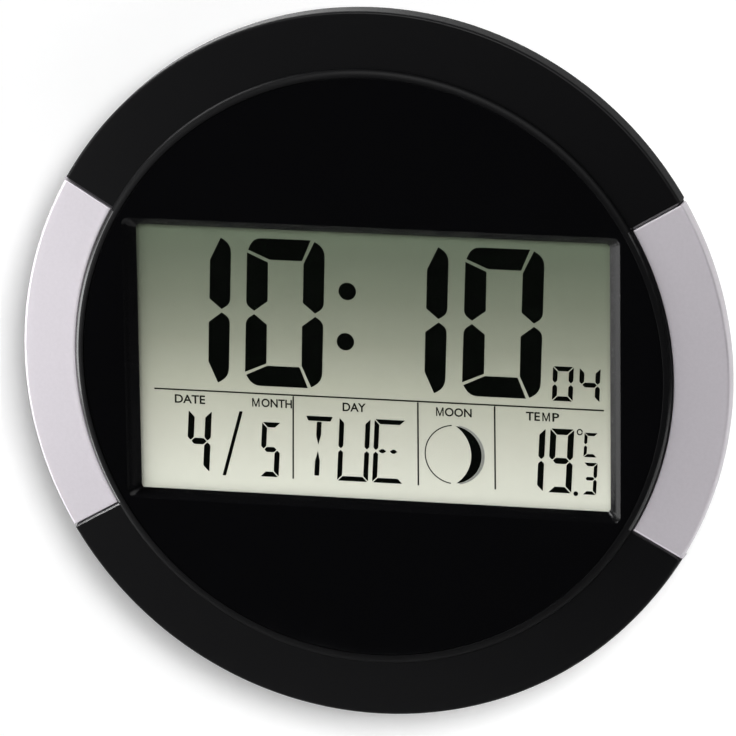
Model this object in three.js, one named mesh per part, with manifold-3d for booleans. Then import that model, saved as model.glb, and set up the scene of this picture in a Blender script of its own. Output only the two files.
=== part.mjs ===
// Round digital wall clock, 300 mm across: a black bezel ring with two silver side trims, a glossy
// front panel with a sloped window, a liquid crystal display behind it, and a rear cover that holds
// the cells, the radio antenna and five setting keys.
//
// Millimetres, +Z up, +Y into the wall. The origin is the middle of the flat back, which lies on the
// wall. A height is a distance from the wall towards the viewer, so a height h lies at y = -h.

import * as THREE from 'three';
import { mergeVertices } from 'three/addons/utils/BufferGeometryUtils.js';
import Module from 'manifold-3d';

const wasm = await Module();
wasm.setup();

// Fits
const seatGap = 0.3;          // left between pieces that seat on each other
const slideGap = 0.35;        // round keys and the battery door
const sheetGap = 0.1;         // between the sheets of the display, and under soldered parts
const overrun = 1;            // how far a cutting tool runs past the face that it cuts
const rootDepth = 0.5;        // how far a post or boss is sunk into the wall that carries it

// Round case. Its radius follows from the window's corners and the widths outside them.
const turnSegments = 48;      // facets of the large turned pieces
const panelRimMargin = 1.59;  // from the window's corner to the front panel's edge
const lipWidth = 4;
const ringWidth = 22.9;       // from the lip to the ring's outer edge
const ringEdgeHeight = 30;    // front edge of the ring
const ringSlopeRise = 1.5;    // how much the ring's face rises from its edge to the lip
const ringEdgeRound = 1.2;
const ringSideDepth = 8;      // visible side wall
const ringSideFlare = 0.3;    // the side wall widens this much towards the back
const ringWall = 3.2;
const lipCrestHeight = 33.4;
const lipCrestInset = 1.5;    // from the lip's inner wall to its crest
const ledgeWidth = 5.6;       // under the edge of the front panel
const ledgeThickness = 2.2;

// Silver trims
const trimHalfAngle = 30;     // degrees above and below the horizontal
const trimThickness = 1.5;
const trimEndGap = 0.4;
const trimEdgeChamfer = 0.5;
const trimPostAngles = [-20, 0, 20];

// Heat-staked posts of the trims and the front panel
const postRadius = 1.5;
const postHeadRadius = 2.5;
const postHeadHeight = 1;
const postSegments = 8;
const panelPostAngles = [0, 60, 120, 180, 240, 300];

// Front panel and its window
const panelFaceHeight = 33;
const panelThickness = 2.6;
const panelEdgeGap = 0.3;
const panelEdgeChamfer = 0.4;
const windowWidth = 200.4;    // clear opening at the foot of the slope
const windowTall = 113.6;
const windowSlopeSide = 5;    // width of the slope beside the display
const windowSlopeEnd = 3.4;   // width of the slope above and below it
const windowDepth = 4.3;
const windowOuterRadius = 3;
const windowInnerRadius = 0.8;
const windowWall = 1.6;

// Display
const lensThickness = 1.2;
const glassThickness = 1.1;
const reflectorThickness = 0.3;
const glassMarginSide = 2.8;  // how far the glass runs past the clear opening
const glassMarginEnd = 2.4;
const glassMarginFoot = 4.6;  // below the opening, where the contacts are
const contactLedge = 4;       // the rear glass stops this far above the front glass's lower edge
const reflectorInset = 1;

// Tray that clamps the display to the front panel
const trayWall = 1.6;
const trayFloor = 1.5;
const trayCornerRadius = 2;
const trayEarInset = 34.9;    // from the tray's side to each pair of ears
const trayEarWidth = 11;
const trayEarThickness = 2;
const trayEarRadius = 3;
const trayRibCount = 5;
const trayRibWidth = 1.4;
const trayRibHeight = 1.6;

// Main circuit board
const boardSideInset = 7.9;   // from the tray's side to the board's
const boardTall = 56;
const boardCornerRadius = 2;
const boardEdgeMargin = 4.5;  // from the rubber strip to the board's lower edge
const boardThickness = 1.6;
const boardStandOff = 2.2;
const boardScrewSide = 7;     // from the board's sides to its screws
const boardScrewInset = 8;    // from its upper and lower edge to them
const connectorInset = 12;    // from the board's sides to the rubber strip's ends
const connectorWidth = 2.6;

// Screws
const screwRadius = 1.3;
const screwHeadRadius = 2.6;
const screwHeadHeight = 1.7;
const screwSegments = 8;
const bossRadius = 3.5;

// Rear cover
const coverWall = 2.2;
const backInset = 32;         // from the ring's edge to the flat that lies on the wall
const backEdgeRound = 3;
const coverRimInset = 0.7;
const coverRimFillet = 1.4;
const flankTopInset = 6.5;    // from the ring's edge to where the flank steepens
const flankTopHeight = 17;
const tongueThickness = 1.7;
const tongueReach = 2.4;
const coverScrewAngles = [36, 90, 144, 216, 270, 324];
const coverScrewInset = 14.5;
const wellRadius = 4.2;
const wellWall = 1.5;
const wellSeatHeight = 16.6;

// Battery bay, two AA cells side by side
const cellRadius = 7.25;
const cellLength = 50.5;
const cellNubRadius = 2.7;
const cellNubLength = 1.3;
const cellEdgeRound = 0.8;
const cellGap = 0.6;
const springRoom = 6;
const contactThickness = 0.4;
const bayWall = 1.6;
const bayEdgeGap = 11.9;      // from the bay to the edge of the back
const springWire = 0.35;      // radius of the spring's wire
const springRadius = 3.4;
const springTurns = 3;
const springTaper = 0.25;     // how much narrower the last turn is, as a share
const tabWidth = 2.5;         // solder tabs that pass through the bay's floor
const tabReach = 2.4;

// Battery door, which slides down out of its rails
const doorThickness = 1.9;
const doorRecess = 0.2;
const doorLipThickness = 1;   // lip of the cover that holds the door's flanges in
const doorCellGap = 0.4;      // between the door and the cells
const doorFlange = 1.7;
const doorBearing = 1.4;      // how far the door covers the bay's wall beside it
const doorTongueWidth = 14;
const doorTongueReach = 2;
const doorFoot = 5;           // how far the door's lower edge runs past the flat of the back
const doorEdgeInset = 0.5;    // and stays inside its round edge
const doorGripStart = 6;      // from the bay's lower wall to the first grip
const doorGripCount = 6;
const doorGripPitch = 2.4;
const doorGripLength = 26;
const doorGripDepth = 0.5;

// Hanging slot
const slotEdgeGap = 23;       // from the slot's neck to the edge of the back
const slotHeadRadius = 4.5;
const slotNeckWidth = 4.6;
const slotRise = 9;
const slotWellDepth = 5.4;
const slotWellSide = 2.2;     // room round the screw's head

// Keys on the back
const keyNames = ['set', 'plus', 'minus', 'wave', 'unit'];
const keyPitch = 24;
const keyRowZ = 34;
const keyRadius = 4.6;
const keyTravel = 0.5;
const keyStem = 1.7;          // from the flange to the switch's plunger
const keyStemRadius = 2.25;
const keyFlange = 1.4;
const keyFlangeThickness = 1.1;
const keyEdgeChamfer = 0.6;
const keyTopRecess = 0.5;     // the caps stay this far behind the plane of the back
const keyPanelDepth = 1.8;    // depth of the shallow field round the keys
const keyPanelTall = 20;
const keyPanelMargin = 12;
const keyPanelRadius = 4;
const switchSide = 6;
const switchHeight = 3.5;
const plungerRadius = 1.75;
const plungerReach = 1.4;     // out of the switch
const plungerRoot = 1.2;      // inside the switch
const keyBoardThickness = 1.5;
const keyBoardTall = 16;
const keyBoardMargin = 15;
const keyBoardScrewInset = 4.5;

// Antenna
const rodRadius = 4;
const rodLength = 72;
const rodZ = 64;
const rodHeight = 11.5;
const coilThickness = 1.8;
const coilLength = 18;
const cradleX = 25;
const cradleThickness = 3;
const cradleWall = 2;

// Temperature sensor and its vent
const sensorEndInset = 27;    // from the board's end to the sensor
const sensorBeadRadius = 1.9;
const sensorBeadLength = 4.5;
const sensorTipRise = 1.6;    // rounded tip of the bead
const sensorLegGap = 1.3;     // from the middle to each leg
const sensorLegRadius = 0.3;
const sensorTipHeight = 5.5;
const ventCount = 6;
const ventPitch = 4;
const ventLength = 22;
const ventWidth = 1.7;

// Components on the main board, placed from its middle
const chipRadius = 8;
const chipHeight = 1.8;
const chipPlace = [30, 0];
const receiverWidth = 11;
const receiverTall = 8;
const receiverThickness = 1.6;
const receiverPlace = [-20, 12];
const quartzRadius = 1.5;
const quartzLength = 8;
const quartzPlace = [0, -6];

// Leads
const leadRadius = 0.6;
const antennaLeadRadius = 0.5;
const leadSteps = 12;
const ribbonWidth = 10;
const ribbonThickness = 0.5;
const ribbonEndLength = 6;    // flat stretch soldered on each board
const solderInset = 5;        // how far a lead runs in behind the board
const leadTurn = 3;           // room for a lead's bend

// Derived places
const windowCornerX = windowWidth / 2 + windowSlopeSide;
const windowCornerZ = windowTall / 2 + windowSlopeEnd;
const panelRadius = Math.hypot(windowCornerX, windowCornerZ) + panelRimMargin;
const panelBackHeight = panelFaceHeight - panelThickness;
const lipInnerRadius = panelRadius + panelEdgeGap;
const lipOuterRadius = lipInnerRadius + lipWidth;
const caseRadius = lipOuterRadius + ringWidth;
const trimPostRing = (lipOuterRadius + caseRadius) / 2;
const backRadius = caseRadius - backInset;
const coverRimRadius = caseRadius - coverRimInset;
const flankTopRadius = caseRadius - flankTopInset;
const coverScrewRing = caseRadius - coverScrewInset;
const ledgeTop = panelBackHeight - seatGap;
const ledgeBottom = ledgeTop - ledgeThickness;
const ledgeInnerRadius = lipInnerRadius - ledgeWidth;
const ringEndHeight = ringEdgeHeight - ringSideDepth;
const ringFaceEdgeRadius = caseRadius - ringEdgeRound;
const landHeight = panelFaceHeight - windowDepth;
const lensFront = landHeight - sheetGap;
const lensBack = lensFront - lensThickness;
const frontGlassFront = lensBack - sheetGap;
const frontGlassBack = frontGlassFront - glassThickness;
const rearGlassFront = frontGlassBack - sheetGap;
const rearGlassBack = rearGlassFront - glassThickness;
const reflectorFront = rearGlassBack - sheetGap;
const reflectorBack = reflectorFront - reflectorThickness;
const glassWidth = windowWidth + 2 * glassMarginSide;
const glassTop = windowTall / 2 + glassMarginEnd;
const glassBottom = -windowTall / 2 - glassMarginFoot;
const trayFrontHeight = landHeight - seatGap;
const trayFloorFront = reflectorBack - sheetGap;
const trayFloorBack = trayFloorFront - trayFloor;
const trayInnerWidth = glassWidth + 2 * seatGap;
const trayOuterWidth = trayInnerWidth + 2 * trayWall;
const trayTop = glassTop + seatGap + trayWall;
const trayBottom = glassBottom - seatGap - trayWall;
const boardFront = trayFloorBack - boardStandOff;
const boardBack = boardFront - boardThickness;
const connectorZ = glassBottom + contactLedge / 2;
const boardWidth = trayOuterWidth - 2 * boardSideInset;
const boardBottom = connectorZ - connectorWidth / 2 - boardEdgeMargin;
const boardTop = boardBottom + boardTall;
const boardMiddle = (boardTop + boardBottom) / 2;
const boardScrewX = boardWidth / 2 - boardScrewSide;
const connectorLength = boardWidth - 2 * connectorInset;
const trayEarX = trayOuterWidth / 2 - trayEarInset;
const cellHeight = doorRecess + doorThickness + doorCellGap + cellRadius;
const bayFloor = cellHeight + cellRadius + seatGap;
const bayHalfWidth = (cellLength + springRoom) / 2 + contactThickness + seatGap;
const bayTall = 4 * cellRadius + cellGap + 2 * seatGap;
const bayBottom = bayEdgeGap - backRadius;
const bayTop = bayBottom + bayTall;
const cellZ = [bayTop - seatGap - cellRadius, bayBottom + seatGap + cellRadius];
const tabTop = bayFloor + bayWall + tabReach;
const doorHalfWidth = bayHalfWidth + doorBearing;
const doorTop = bayTop + bayWall + doorBearing;
const keyPanelHeight = keyPanelDepth + coverWall;
const plungerTip = keyPanelHeight + seatGap + keyFlangeThickness + keyStem;
const switchTop = plungerTip + plungerReach;
const plungerEnd = switchTop + plungerRoot;
const keyBoardBack = switchTop + switchHeight;
const keyBoardFront = keyBoardBack + keyBoardThickness;
const keyRowHalf = keyPitch * (keyNames.length - 1) / 2;
const keyBoardScrewX = keyRowHalf + keyBoardMargin - keyBoardScrewInset;

const radians = (degrees) => degrees * Math.PI / 180;

// Height of the ring's sloping face at a radius.
function faceHeight(radius) {
  const run = (ringFaceEdgeRadius - radius) / (ringFaceEdgeRadius - lipOuterRadius);
  return ringEdgeHeight + ringSlopeRise * run;
}

// Turning geometry into a solid and back

function solidOf(geometry) {
  const bare = geometry.clone();
  bare.deleteAttribute('normal');
  bare.deleteAttribute('uv');
  const merged = mergeVertices(bare, 1e-4);
  const corners = merged.index.array;
  const kept = [];
  for (let i = 0; i < corners.length; i += 3) {
    const [a, b, c] = [corners[i], corners[i + 1], corners[i + 2]];
    if (a !== b && b !== c && c !== a) kept.push(a, b, c);
  }
  const build = (triangles) => new wasm.Manifold(new wasm.Mesh({
    numProp: 3,
    vertProperties: Float32Array.from(merged.attributes.position.array),
    triVerts: Uint32Array.from(triangles),
  }));
  const solid = build(kept);
  return solid.volume() > 0 ? solid : build(kept.reverse());
}

function geometryOf(solid) {
  const mesh = solid.getMesh();
  const geometry = new THREE.BufferGeometry();
  geometry.setAttribute('position', new THREE.BufferAttribute(mesh.vertProperties, 3));
  geometry.setIndex(new THREE.BufferAttribute(mesh.triVerts, 1));
  geometry.computeVertexNormals();
  return geometry;
}

const join = (...solids) => solids.flat().reduce((sum, next) => sum.add(next));
const cut = (solid, ...tools) => tools.flat(2).reduce((rest, tool) => rest.subtract(tool), solid);

// Turned round the clock's axis from [radius, height] points.
function turned(profile, segments = turnSegments) {
  const points = profile.map(([radius, height]) => new THREE.Vector2(radius, -height));
  return solidOf(new THREE.LatheGeometry(points, segments));
}

// A closed profile that doesn't reach the axis.
const turnedRing = (profile, segments) => turned([...profile, profile[0]], segments);

// An outline in x and z, carried from one height to another.
function plate(shape, low, high, curveSegments = 3) {
  const geometry = new THREE.ExtrudeGeometry(shape, {
    depth: high - low, bevelEnabled: false, curveSegments,
  });
  geometry.rotateX(Math.PI / 2);
  geometry.translate(0, -low, 0);
  return solidOf(geometry);
}

function block([x0, x1], [low, high], [z0, z1]) {
  const geometry = new THREE.BoxGeometry(x1 - x0, high - low, z1 - z0);
  geometry.translate((x0 + x1) / 2, -(low + high) / 2, (z0 + z1) / 2);
  return solidOf(geometry);
}

// A round bar along the depth of the clock.
function pin(radius, low, high, x = 0, z = 0, segments = 12) {
  const geometry = new THREE.CylinderGeometry(radius, radius, high - low, segments);
  geometry.translate(x, -(low + high) / 2, z);
  return solidOf(geometry);
}

// A hole that a screw's shank passes through or cuts its thread in.
const screwHole = (low, high, x, z) => pin(screwRadius + seatGap, low, high, x, z, screwSegments);

// A round bar along x.
function barX(radius, x0, x1, height, z, segments = 18) {
  const geometry = new THREE.CylinderGeometry(radius, radius, x1 - x0, segments);
  geometry.rotateZ(Math.PI / 2);
  geometry.translate((x0 + x1) / 2, -height, z);
  return solidOf(geometry);
}

function roundedRect(width, tall, radius, x = 0, z = 0) {
  const [w, h] = [width / 2, tall / 2];
  const shape = new THREE.Shape();
  shape.moveTo(x - w + radius, z - h);
  shape.lineTo(x + w - radius, z - h);
  shape.absarc(x + w - radius, z - h + radius, radius, -Math.PI / 2, 0);
  shape.lineTo(x + w, z + h - radius);
  shape.absarc(x + w - radius, z + h - radius, radius, 0, Math.PI / 2);
  shape.lineTo(x - w + radius, z + h);
  shape.absarc(x - w + radius, z + h - radius, radius, Math.PI / 2, Math.PI);
  shape.lineTo(x - w, z - h + radius);
  shape.absarc(x - w + radius, z - h + radius, radius, Math.PI, Math.PI * 1.5);
  return shape;
}

// Straight walls between two outlines with the same number of points, at two heights.
function loft(lowShape, low, highShape, high, curveSegments = 3) {
  const ends = [[lowShape, low], [highShape, high]].map(([shape, height]) => ({
    points: shape.getPoints(curveSegments), height,
  }));
  const count = ends[0].points.length;
  const positions = ends.flatMap(({ points, height }) => points.flatMap((p) => [p.x, -height, p.y]));
  const index = [];
  for (let i = 0; i < count; i += 1) {
    const next = (i + 1) % count;
    index.push(i, next, count + i, next, count + next, count + i);
  }
  const faces = THREE.ShapeUtils.triangulateShape(ends[0].points, []);
  faces.forEach(([a, b, c]) => index.push(c, b, a, count + a, count + b, count + c));
  const geometry = new THREE.BufferGeometry();
  geometry.setAttribute('position', new THREE.Float32BufferAttribute(positions, 3));
  geometry.setIndex(index);
  return solidOf(geometry);
}

// The sector of a trim, on the right for side 1 and on the left for side -1. Its straight ends are
// set back by a gap.
function sector(side, gap, low = -overrun, high = lipCrestHeight + overrun) {
  const half = radians(trimHalfAngle);
  const reach = caseRadius * 1.3;
  const tip = gap / Math.sin(half);
  const shape = new THREE.Shape([
    new THREE.Vector2(side * tip, 0),
    new THREE.Vector2(side * (tip + reach * Math.cos(half)), reach * Math.sin(half)),
    new THREE.Vector2(side * (tip + reach * Math.cos(half)), -reach * Math.sin(half)),
  ]);
  return plate(shape, low, high);
}

const onCircle = (radius, degrees) => [
  radius * Math.cos(radians(degrees)), radius * Math.sin(radians(degrees)),
];

// A post with a flattened head that a hot tool has spread behind the wall it passes through.
function stakedPost(x, z, rootHeight, wallBack) {
  const headTop = wallBack - seatGap;
  return join(
    pin(postRadius, headTop - postHeadHeight / 2, rootHeight, x, z, postSegments),
    pin(postHeadRadius, headTop - postHeadHeight, headTop, x, z, postSegments),
  );
}

// Materials and the list of pieces

const clock = new THREE.Group();

function finish(colour, roughness, metalness = 0, extra = {}) {
  return () => new THREE.MeshStandardMaterial({ color: colour, roughness, metalness, ...extra });
}

const satinBlack = finish(0x1a181b, 0.42);
const glossBlack = finish(0x090909, 0.08);
const silverPaint = finish(0xc6c2c6, 0.38, 0.35);
const clearPlastic = finish(0xf4f6f4, 0.05, 0, { transparent: true, opacity: 0.25 });
const displayGlass = finish(0xb4b9a6, 0.1);
const reflectorFoil = finish(0xc9cbbd, 0.6, 0.2);
const darkPlastic = finish(0x222224, 0.55);
const boardGreen = finish(0x1f5a38, 0.6);
const rubberGrey = finish(0x3c3d40, 0.85);
const epoxyBlack = finish(0x0d0d0e, 0.35);
const nickel = finish(0xb9b6ac, 0.3, 1);
const zinc = finish(0x9b9c9d, 0.35, 1);
const ferrite = finish(0x2a2826, 0.7);
const copperWire = finish(0x9c5a2c, 0.35, 0.8);
const cellJacket = finish(0x2d4f7c, 0.35, 0.2);
const keyGrey = finish(0x5a5b5e, 0.6);
const plungerWhite = finish(0xd8d6cf, 0.5);
const leadRed = finish(0xa3201c, 0.5);
const leadBlack = finish(0x151516, 0.5);
const ribbonGrey = finish(0x8d9094, 0.5);

function addPiece(name, solid, material, [x, height, z] = [0, 0, 0]) {
  const mesh = new THREE.Mesh(geometryOf(solid), material());
  mesh.name = name;
  mesh.position.set(x, -height, z);
  clock.add(mesh);
}

// Front: bezel ring, trims and panel

// Outer line of the ring from its lower side edge, over the rounded corner, to the foot of the lip.
function ringOuterLine() {
  const corner = [0, 45, 90].map((degrees) => {
    const angle = radians(degrees);
    return [
      ringFaceEdgeRadius + ringEdgeRound * Math.cos(angle),
      ringEdgeHeight - ringEdgeRound + ringEdgeRound * Math.sin(angle),
    ];
  });
  return [
    [caseRadius + ringSideFlare, ringEndHeight],
    ...corner,
    [lipOuterRadius, faceHeight(lipOuterRadius)],
  ];
}

// The lip is a rounded bead: a quarter ellipse up to the crest and another down to the panel.
function lipLine() {
  const crestRadius = lipInnerRadius + lipCrestInset;
  const outerRise = lipCrestHeight - faceHeight(lipOuterRadius);
  const innerDrop = lipCrestHeight - panelFaceHeight;
  const outward = [30, 60].map((degrees) => [
    crestRadius + (lipOuterRadius - crestRadius) * Math.cos(radians(degrees)),
    lipCrestHeight - outerRise * (1 - Math.sin(radians(degrees))),
  ]);
  const inward = [90, 45, 0].map((degrees) => [
    crestRadius - lipCrestInset * Math.cos(radians(degrees)),
    lipCrestHeight - innerDrop * (1 - Math.sin(radians(degrees))),
  ]);
  return [...outward, ...inward];
}

function trimPosts() {
  return [0, 180].flatMap((middle) => trimPostAngles.map((angle) => {
    const [x, z] = onCircle(trimPostRing, middle + angle);
    return { x, z, side: middle === 0 ? 1 : -1 };
  }));
}

const panelPosts = panelPostAngles.map((angle) => onCircle(ledgeInnerRadius + ledgeWidth / 2, angle));
const coverScrews = coverScrewAngles.map((angle) => onCircle(coverScrewRing, angle));

const pocketDepth = trimThickness + seatGap;
const pocketSideRadius = caseRadius - pocketDepth;
const windowFrame = roundedRect(
  windowWidth + 2 * (windowSlopeSide + windowWall),
  windowTall + 2 * (windowSlopeEnd + windowWall),
  windowOuterRadius + windowWall,
);

// The tray's outer edge, widened by a gap.
function trayOutline(gap) {
  const middle = (trayTop + trayBottom) / 2;
  return roundedRect(
    trayOuterWidth + 2 * gap, trayTop - trayBottom + 2 * gap, trayCornerRadius + gap, 0, middle,
  );
}

function bezelRing() {
  const innerRadius = caseRadius - ringWall;
  const body = turnedRing([
    ...ringOuterLine(),
    ...lipLine(),
    [lipInnerRadius, ledgeTop],
    [ledgeInnerRadius, ledgeTop],
    [ledgeInnerRadius, ledgeBottom],
    [lipOuterRadius, ledgeBottom],
    [innerRadius, ringEdgeHeight - ringWall],
    [innerRadius, ringEndHeight],
  ]);
  const bosses = coverScrews.map(([x, z]) => (
    pin(bossRadius, wellSeatHeight + coverWall + seatGap, ringEdgeHeight - rootDepth, x, z)
  ));
  const pilots = coverScrews.map(([x, z]) => (
    screwHole(wellSeatHeight, ringEdgeHeight - ringWall / 2, x, z)
  ));
  const pocket = turnedRing([
    [lipOuterRadius, lipCrestHeight + overrun],
    [lipOuterRadius, faceHeight(lipOuterRadius) - pocketDepth],
    [pocketSideRadius, faceHeight(pocketSideRadius) - pocketDepth],
    [pocketSideRadius, ringEndHeight - overrun],
    [caseRadius + overrun, ringEndHeight - overrun],
    [caseRadius + overrun, lipCrestHeight + overrun],
  ]);
  const pockets = [1, -1].map((side) => pocket.intersect(sector(side, 0)));
  const trimHoles = trimPosts().map(({ x, z }) => (
    pin(postRadius + seatGap, ringEndHeight, lipCrestHeight, x, z, postSegments)
  ));
  const panelHoles = panelPosts.map(([x, z]) => (
    pin(postRadius + seatGap, ledgeBottom - overrun, ledgeTop + overrun, x, z, postSegments)
  ));
  const relief = roundedRect(
    windowWidth + 2 * (windowSlopeSide + windowWall + seatGap),
    windowTall + 2 * (windowSlopeEnd + windowWall + seatGap),
    windowOuterRadius + windowWall + seatGap,
  );
  return cut(
    join(body, bosses), pilots, pockets, trimHoles, panelHoles,
    plate(relief, ledgeBottom - overrun, panelBackHeight),
    plate(trayOutline(seatGap), ledgeBottom - overrun, landHeight),
  );
}

// A thin L in section: a face plate that follows the ring's slope, and a skirt down its side.
function trim(side) {
  const innerEdge = lipOuterRadius + trimEndGap;
  const skirtInner = caseRadius - trimThickness;
  const shell = turnedRing([
    ...ringOuterLine().slice(0, -1),
    [innerEdge + trimEdgeChamfer, faceHeight(innerEdge)],
    [innerEdge, faceHeight(innerEdge) - trimEdgeChamfer],
    [innerEdge, faceHeight(innerEdge) - trimThickness],
    [skirtInner, faceHeight(skirtInner) - trimThickness],
    [skirtInner, ringEndHeight],
  ]);
  const floorBack = ringEdgeHeight - ringWall;
  const posts = trimPosts().filter((post) => post.side === side).map(({ x, z }) => (
    stakedPost(x, z, faceHeight(trimPostRing) - trimThickness / 2, floorBack)
  ));
  return join(shell.intersect(sector(side, trimEndGap)), posts);
}

const windowOpening = () => loft(
  roundedRect(windowWidth, windowTall, windowInnerRadius), landHeight,
  roundedRect(
    windowWidth + 2 * windowSlopeSide, windowTall + 2 * windowSlopeEnd, windowOuterRadius,
  ), panelFaceHeight,
);

const trayEars = [-1, 1].flatMap((side) => (
  [trayTop + seatGap + bossRadius, trayBottom - seatGap - bossRadius].map((z) => [side * trayEarX, z])
));
const earFront = trayFrontHeight - trayEarThickness;

function frontPanel() {
  const disc = turned([
    [0, panelBackHeight],
    [panelRadius, panelBackHeight],
    [panelRadius, panelFaceHeight - panelEdgeChamfer],
    [panelRadius - panelEdgeChamfer, panelFaceHeight],
    [0, panelFaceHeight],
  ]);
  const frame = plate(windowFrame, landHeight, panelBackHeight + rootDepth);
  const bosses = trayEars.map(([x, z]) => (
    pin(bossRadius, earFront + seatGap, panelBackHeight + rootDepth, x, z)
  ));
  const pilots = trayEars.map(([x, z]) => (
    screwHole(earFront, panelBackHeight + panelThickness / 3, x, z)
  ));
  const posts = panelPosts.map(([x, z]) => (
    stakedPost(x, z, panelBackHeight + rootDepth, ledgeBottom)
  ));
  return cut(join(disc, frame, bosses, posts), windowOpening(), pilots);
}

addPiece('bezel_ring', bezelRing(), satinBlack);
addPiece('trim_right', trim(1), silverPaint);
addPiece('trim_left', trim(-1), silverPaint);
addPiece('front_panel', frontPanel(), glossBlack);

// Display, from the viewer inwards

function sheet(width, low, high, [bottom, top] = [glassBottom, glassTop]) {
  return block([-width / 2, width / 2], [low, high], [bottom, top]);
}

addPiece('display_lens', sheet(glassWidth, lensBack, lensFront), clearPlastic);
addPiece('lcd_front_glass', sheet(glassWidth, frontGlassBack, frontGlassFront), displayGlass);
addPiece(
  'lcd_rear_glass',
  sheet(glassWidth, rearGlassBack, rearGlassFront, [glassBottom + contactLedge, glassTop]),
  displayGlass,
);
addPiece(
  'lcd_reflector',
  sheet(
    glassWidth - 2 * reflectorInset, reflectorBack, reflectorFront,
    [glassBottom + contactLedge + reflectorInset, glassTop - reflectorInset],
  ),
  reflectorFoil,
);

addPiece(
  'zebra_connector',
  block(
    [-connectorLength / 2, connectorLength / 2],
    [boardFront + sheetGap, frontGlassBack - sheetGap],
    [connectorZ - connectorWidth / 2, connectorZ + connectorWidth / 2],
  ),
  rubberGrey,
);

const boardScrews = [-1, 1].flatMap((sx) => (
  [boardTop - boardScrewInset, boardBottom + boardScrewInset].map((z) => [sx * boardScrewX, z])
));

function displayTray() {
  const outer = plate(trayOutline(0), trayFloorBack, trayFrontHeight);
  const hollow = block(
    [-trayInnerWidth / 2, trayInnerWidth / 2], [trayFloorFront, trayFrontHeight + overrun],
    [glassBottom - seatGap, glassTop + seatGap],
  );
  const ears = trayEars.map(([x, z]) => plate(
    roundedRect(trayEarWidth, trayEarWidth, trayEarRadius, x, z),
    earFront - trayEarThickness, earFront,
  ));
  const earRoots = trayEars.map(([x, z]) => block(
    [x - trayEarWidth / 2, x + trayEarWidth / 2], [earFront - trayEarThickness, earFront],
    z > 0 ? [trayTop - trayWall, z] : [z, trayBottom + trayWall],
  ));
  const ribs = Array.from({ length: trayRibCount }, (_, i) => {
    const x = trayOuterWidth * ((i + 1) / (trayRibCount + 1) - 0.5);
    return block(
      [x - trayRibWidth / 2, x + trayRibWidth / 2], [trayFloorBack - trayRibHeight, trayFloorBack],
      [boardTop + trayRibHeight, trayTop - trayRibHeight],
    );
  });
  const standOffs = boardScrews.map(([x, z]) => (
    pin(bossRadius, boardFront + sheetGap, trayFloorBack, x, z)
  ));
  const slot = block(
    [-connectorLength / 2 - seatGap, connectorLength / 2 + seatGap],
    [trayFloorBack - overrun, trayFloorFront + overrun],
    [connectorZ - connectorWidth / 2 - seatGap, connectorZ + connectorWidth / 2 + seatGap],
  );
  const earHoles = trayEars.map(([x, z]) => (
    screwHole(earFront - trayEarThickness - overrun, earFront + overrun, x, z)
  ));
  const pilots = boardScrews.map(([x, z]) => (
    screwHole(boardFront - overrun, trayFloorBack + trayFloor / 2, x, z)
  ));
  const walls = cut(outer, hollow);
  return cut(join(walls, cut(join(ears, earRoots), hollow), ribs, standOffs), slot, earHoles, pilots);
}

addPiece('display_tray', displayTray(), darkPlastic);

// Circuit board and what is soldered on it

const onBoard = ([x, z]) => [x, boardBack - sheetGap, boardMiddle + z];
const sensorX = sensorEndInset - boardWidth / 2;
const sensorZ = boardMiddle;

function mainBoard() {
  const shape = roundedRect(boardWidth, boardTall, boardCornerRadius, 0, boardMiddle);
  const holes = boardScrews.map(([x, z]) => (
    screwHole(boardBack - overrun, boardFront + overrun, x, z)
  ));
  return cut(plate(shape, boardBack, boardFront), holes);
}

// Drop of black resin over the bare chip: a low dome.
function resinDrop(radius, height) {
  const arc = [0, 30, 60].map((degrees) => [
    radius * Math.cos(radians(degrees)), -height * Math.sin(radians(degrees)),
  ]);
  return turned([[0, 0], ...arc, [0, -height]], 16);
}

function sensor() {
  const legTop = boardBack - sheetGap;
  const beadTop = sensorTipHeight + sensorBeadLength;
  const legs = [-1, 1].map((side) => (
    pin(sensorLegRadius, beadTop - rootDepth, legTop, side * sensorLegGap, 0, 6)
  ));
  const bead = turned([
    [0, sensorTipHeight],
    [sensorBeadRadius * 0.7, sensorTipHeight + sensorTipRise / 3],
    [sensorBeadRadius, sensorTipHeight + sensorTipRise],
    [sensorBeadRadius, beadTop],
    [0, beadTop],
  ], 12);
  return join(bead, legs);
}

addPiece('main_board', mainBoard(), boardGreen);
addPiece('driver_chip', resinDrop(chipRadius, chipHeight), epoxyBlack, onBoard(chipPlace));
addPiece(
  'receiver_chip',
  block(
    [-receiverWidth / 2, receiverWidth / 2], [-receiverThickness, 0],
    [-receiverTall / 2, receiverTall / 2],
  ),
  epoxyBlack, onBoard(receiverPlace),
);
addPiece(
  'quartz_can',
  barX(quartzRadius, -quartzLength / 2, quartzLength / 2, -quartzRadius, 0, 12),
  nickel, onBoard(quartzPlace),
);
addPiece('temperature_sensor', sensor(), epoxyBlack, [sensorX, 0, sensorZ]);

// Antenna rod with its winding
addPiece('antenna_rod', barX(rodRadius, -rodLength / 2, rodLength / 2, rodHeight, rodZ), ferrite);
addPiece(
  'antenna_coil',
  cut(
    barX(rodRadius + seatGap + coilThickness, -coilLength / 2, coilLength / 2, rodHeight, rodZ),
    barX(rodRadius + seatGap, -coilLength, coilLength, rodHeight, rodZ),
  ),
  copperWire,
);

// Rear cover

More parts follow.
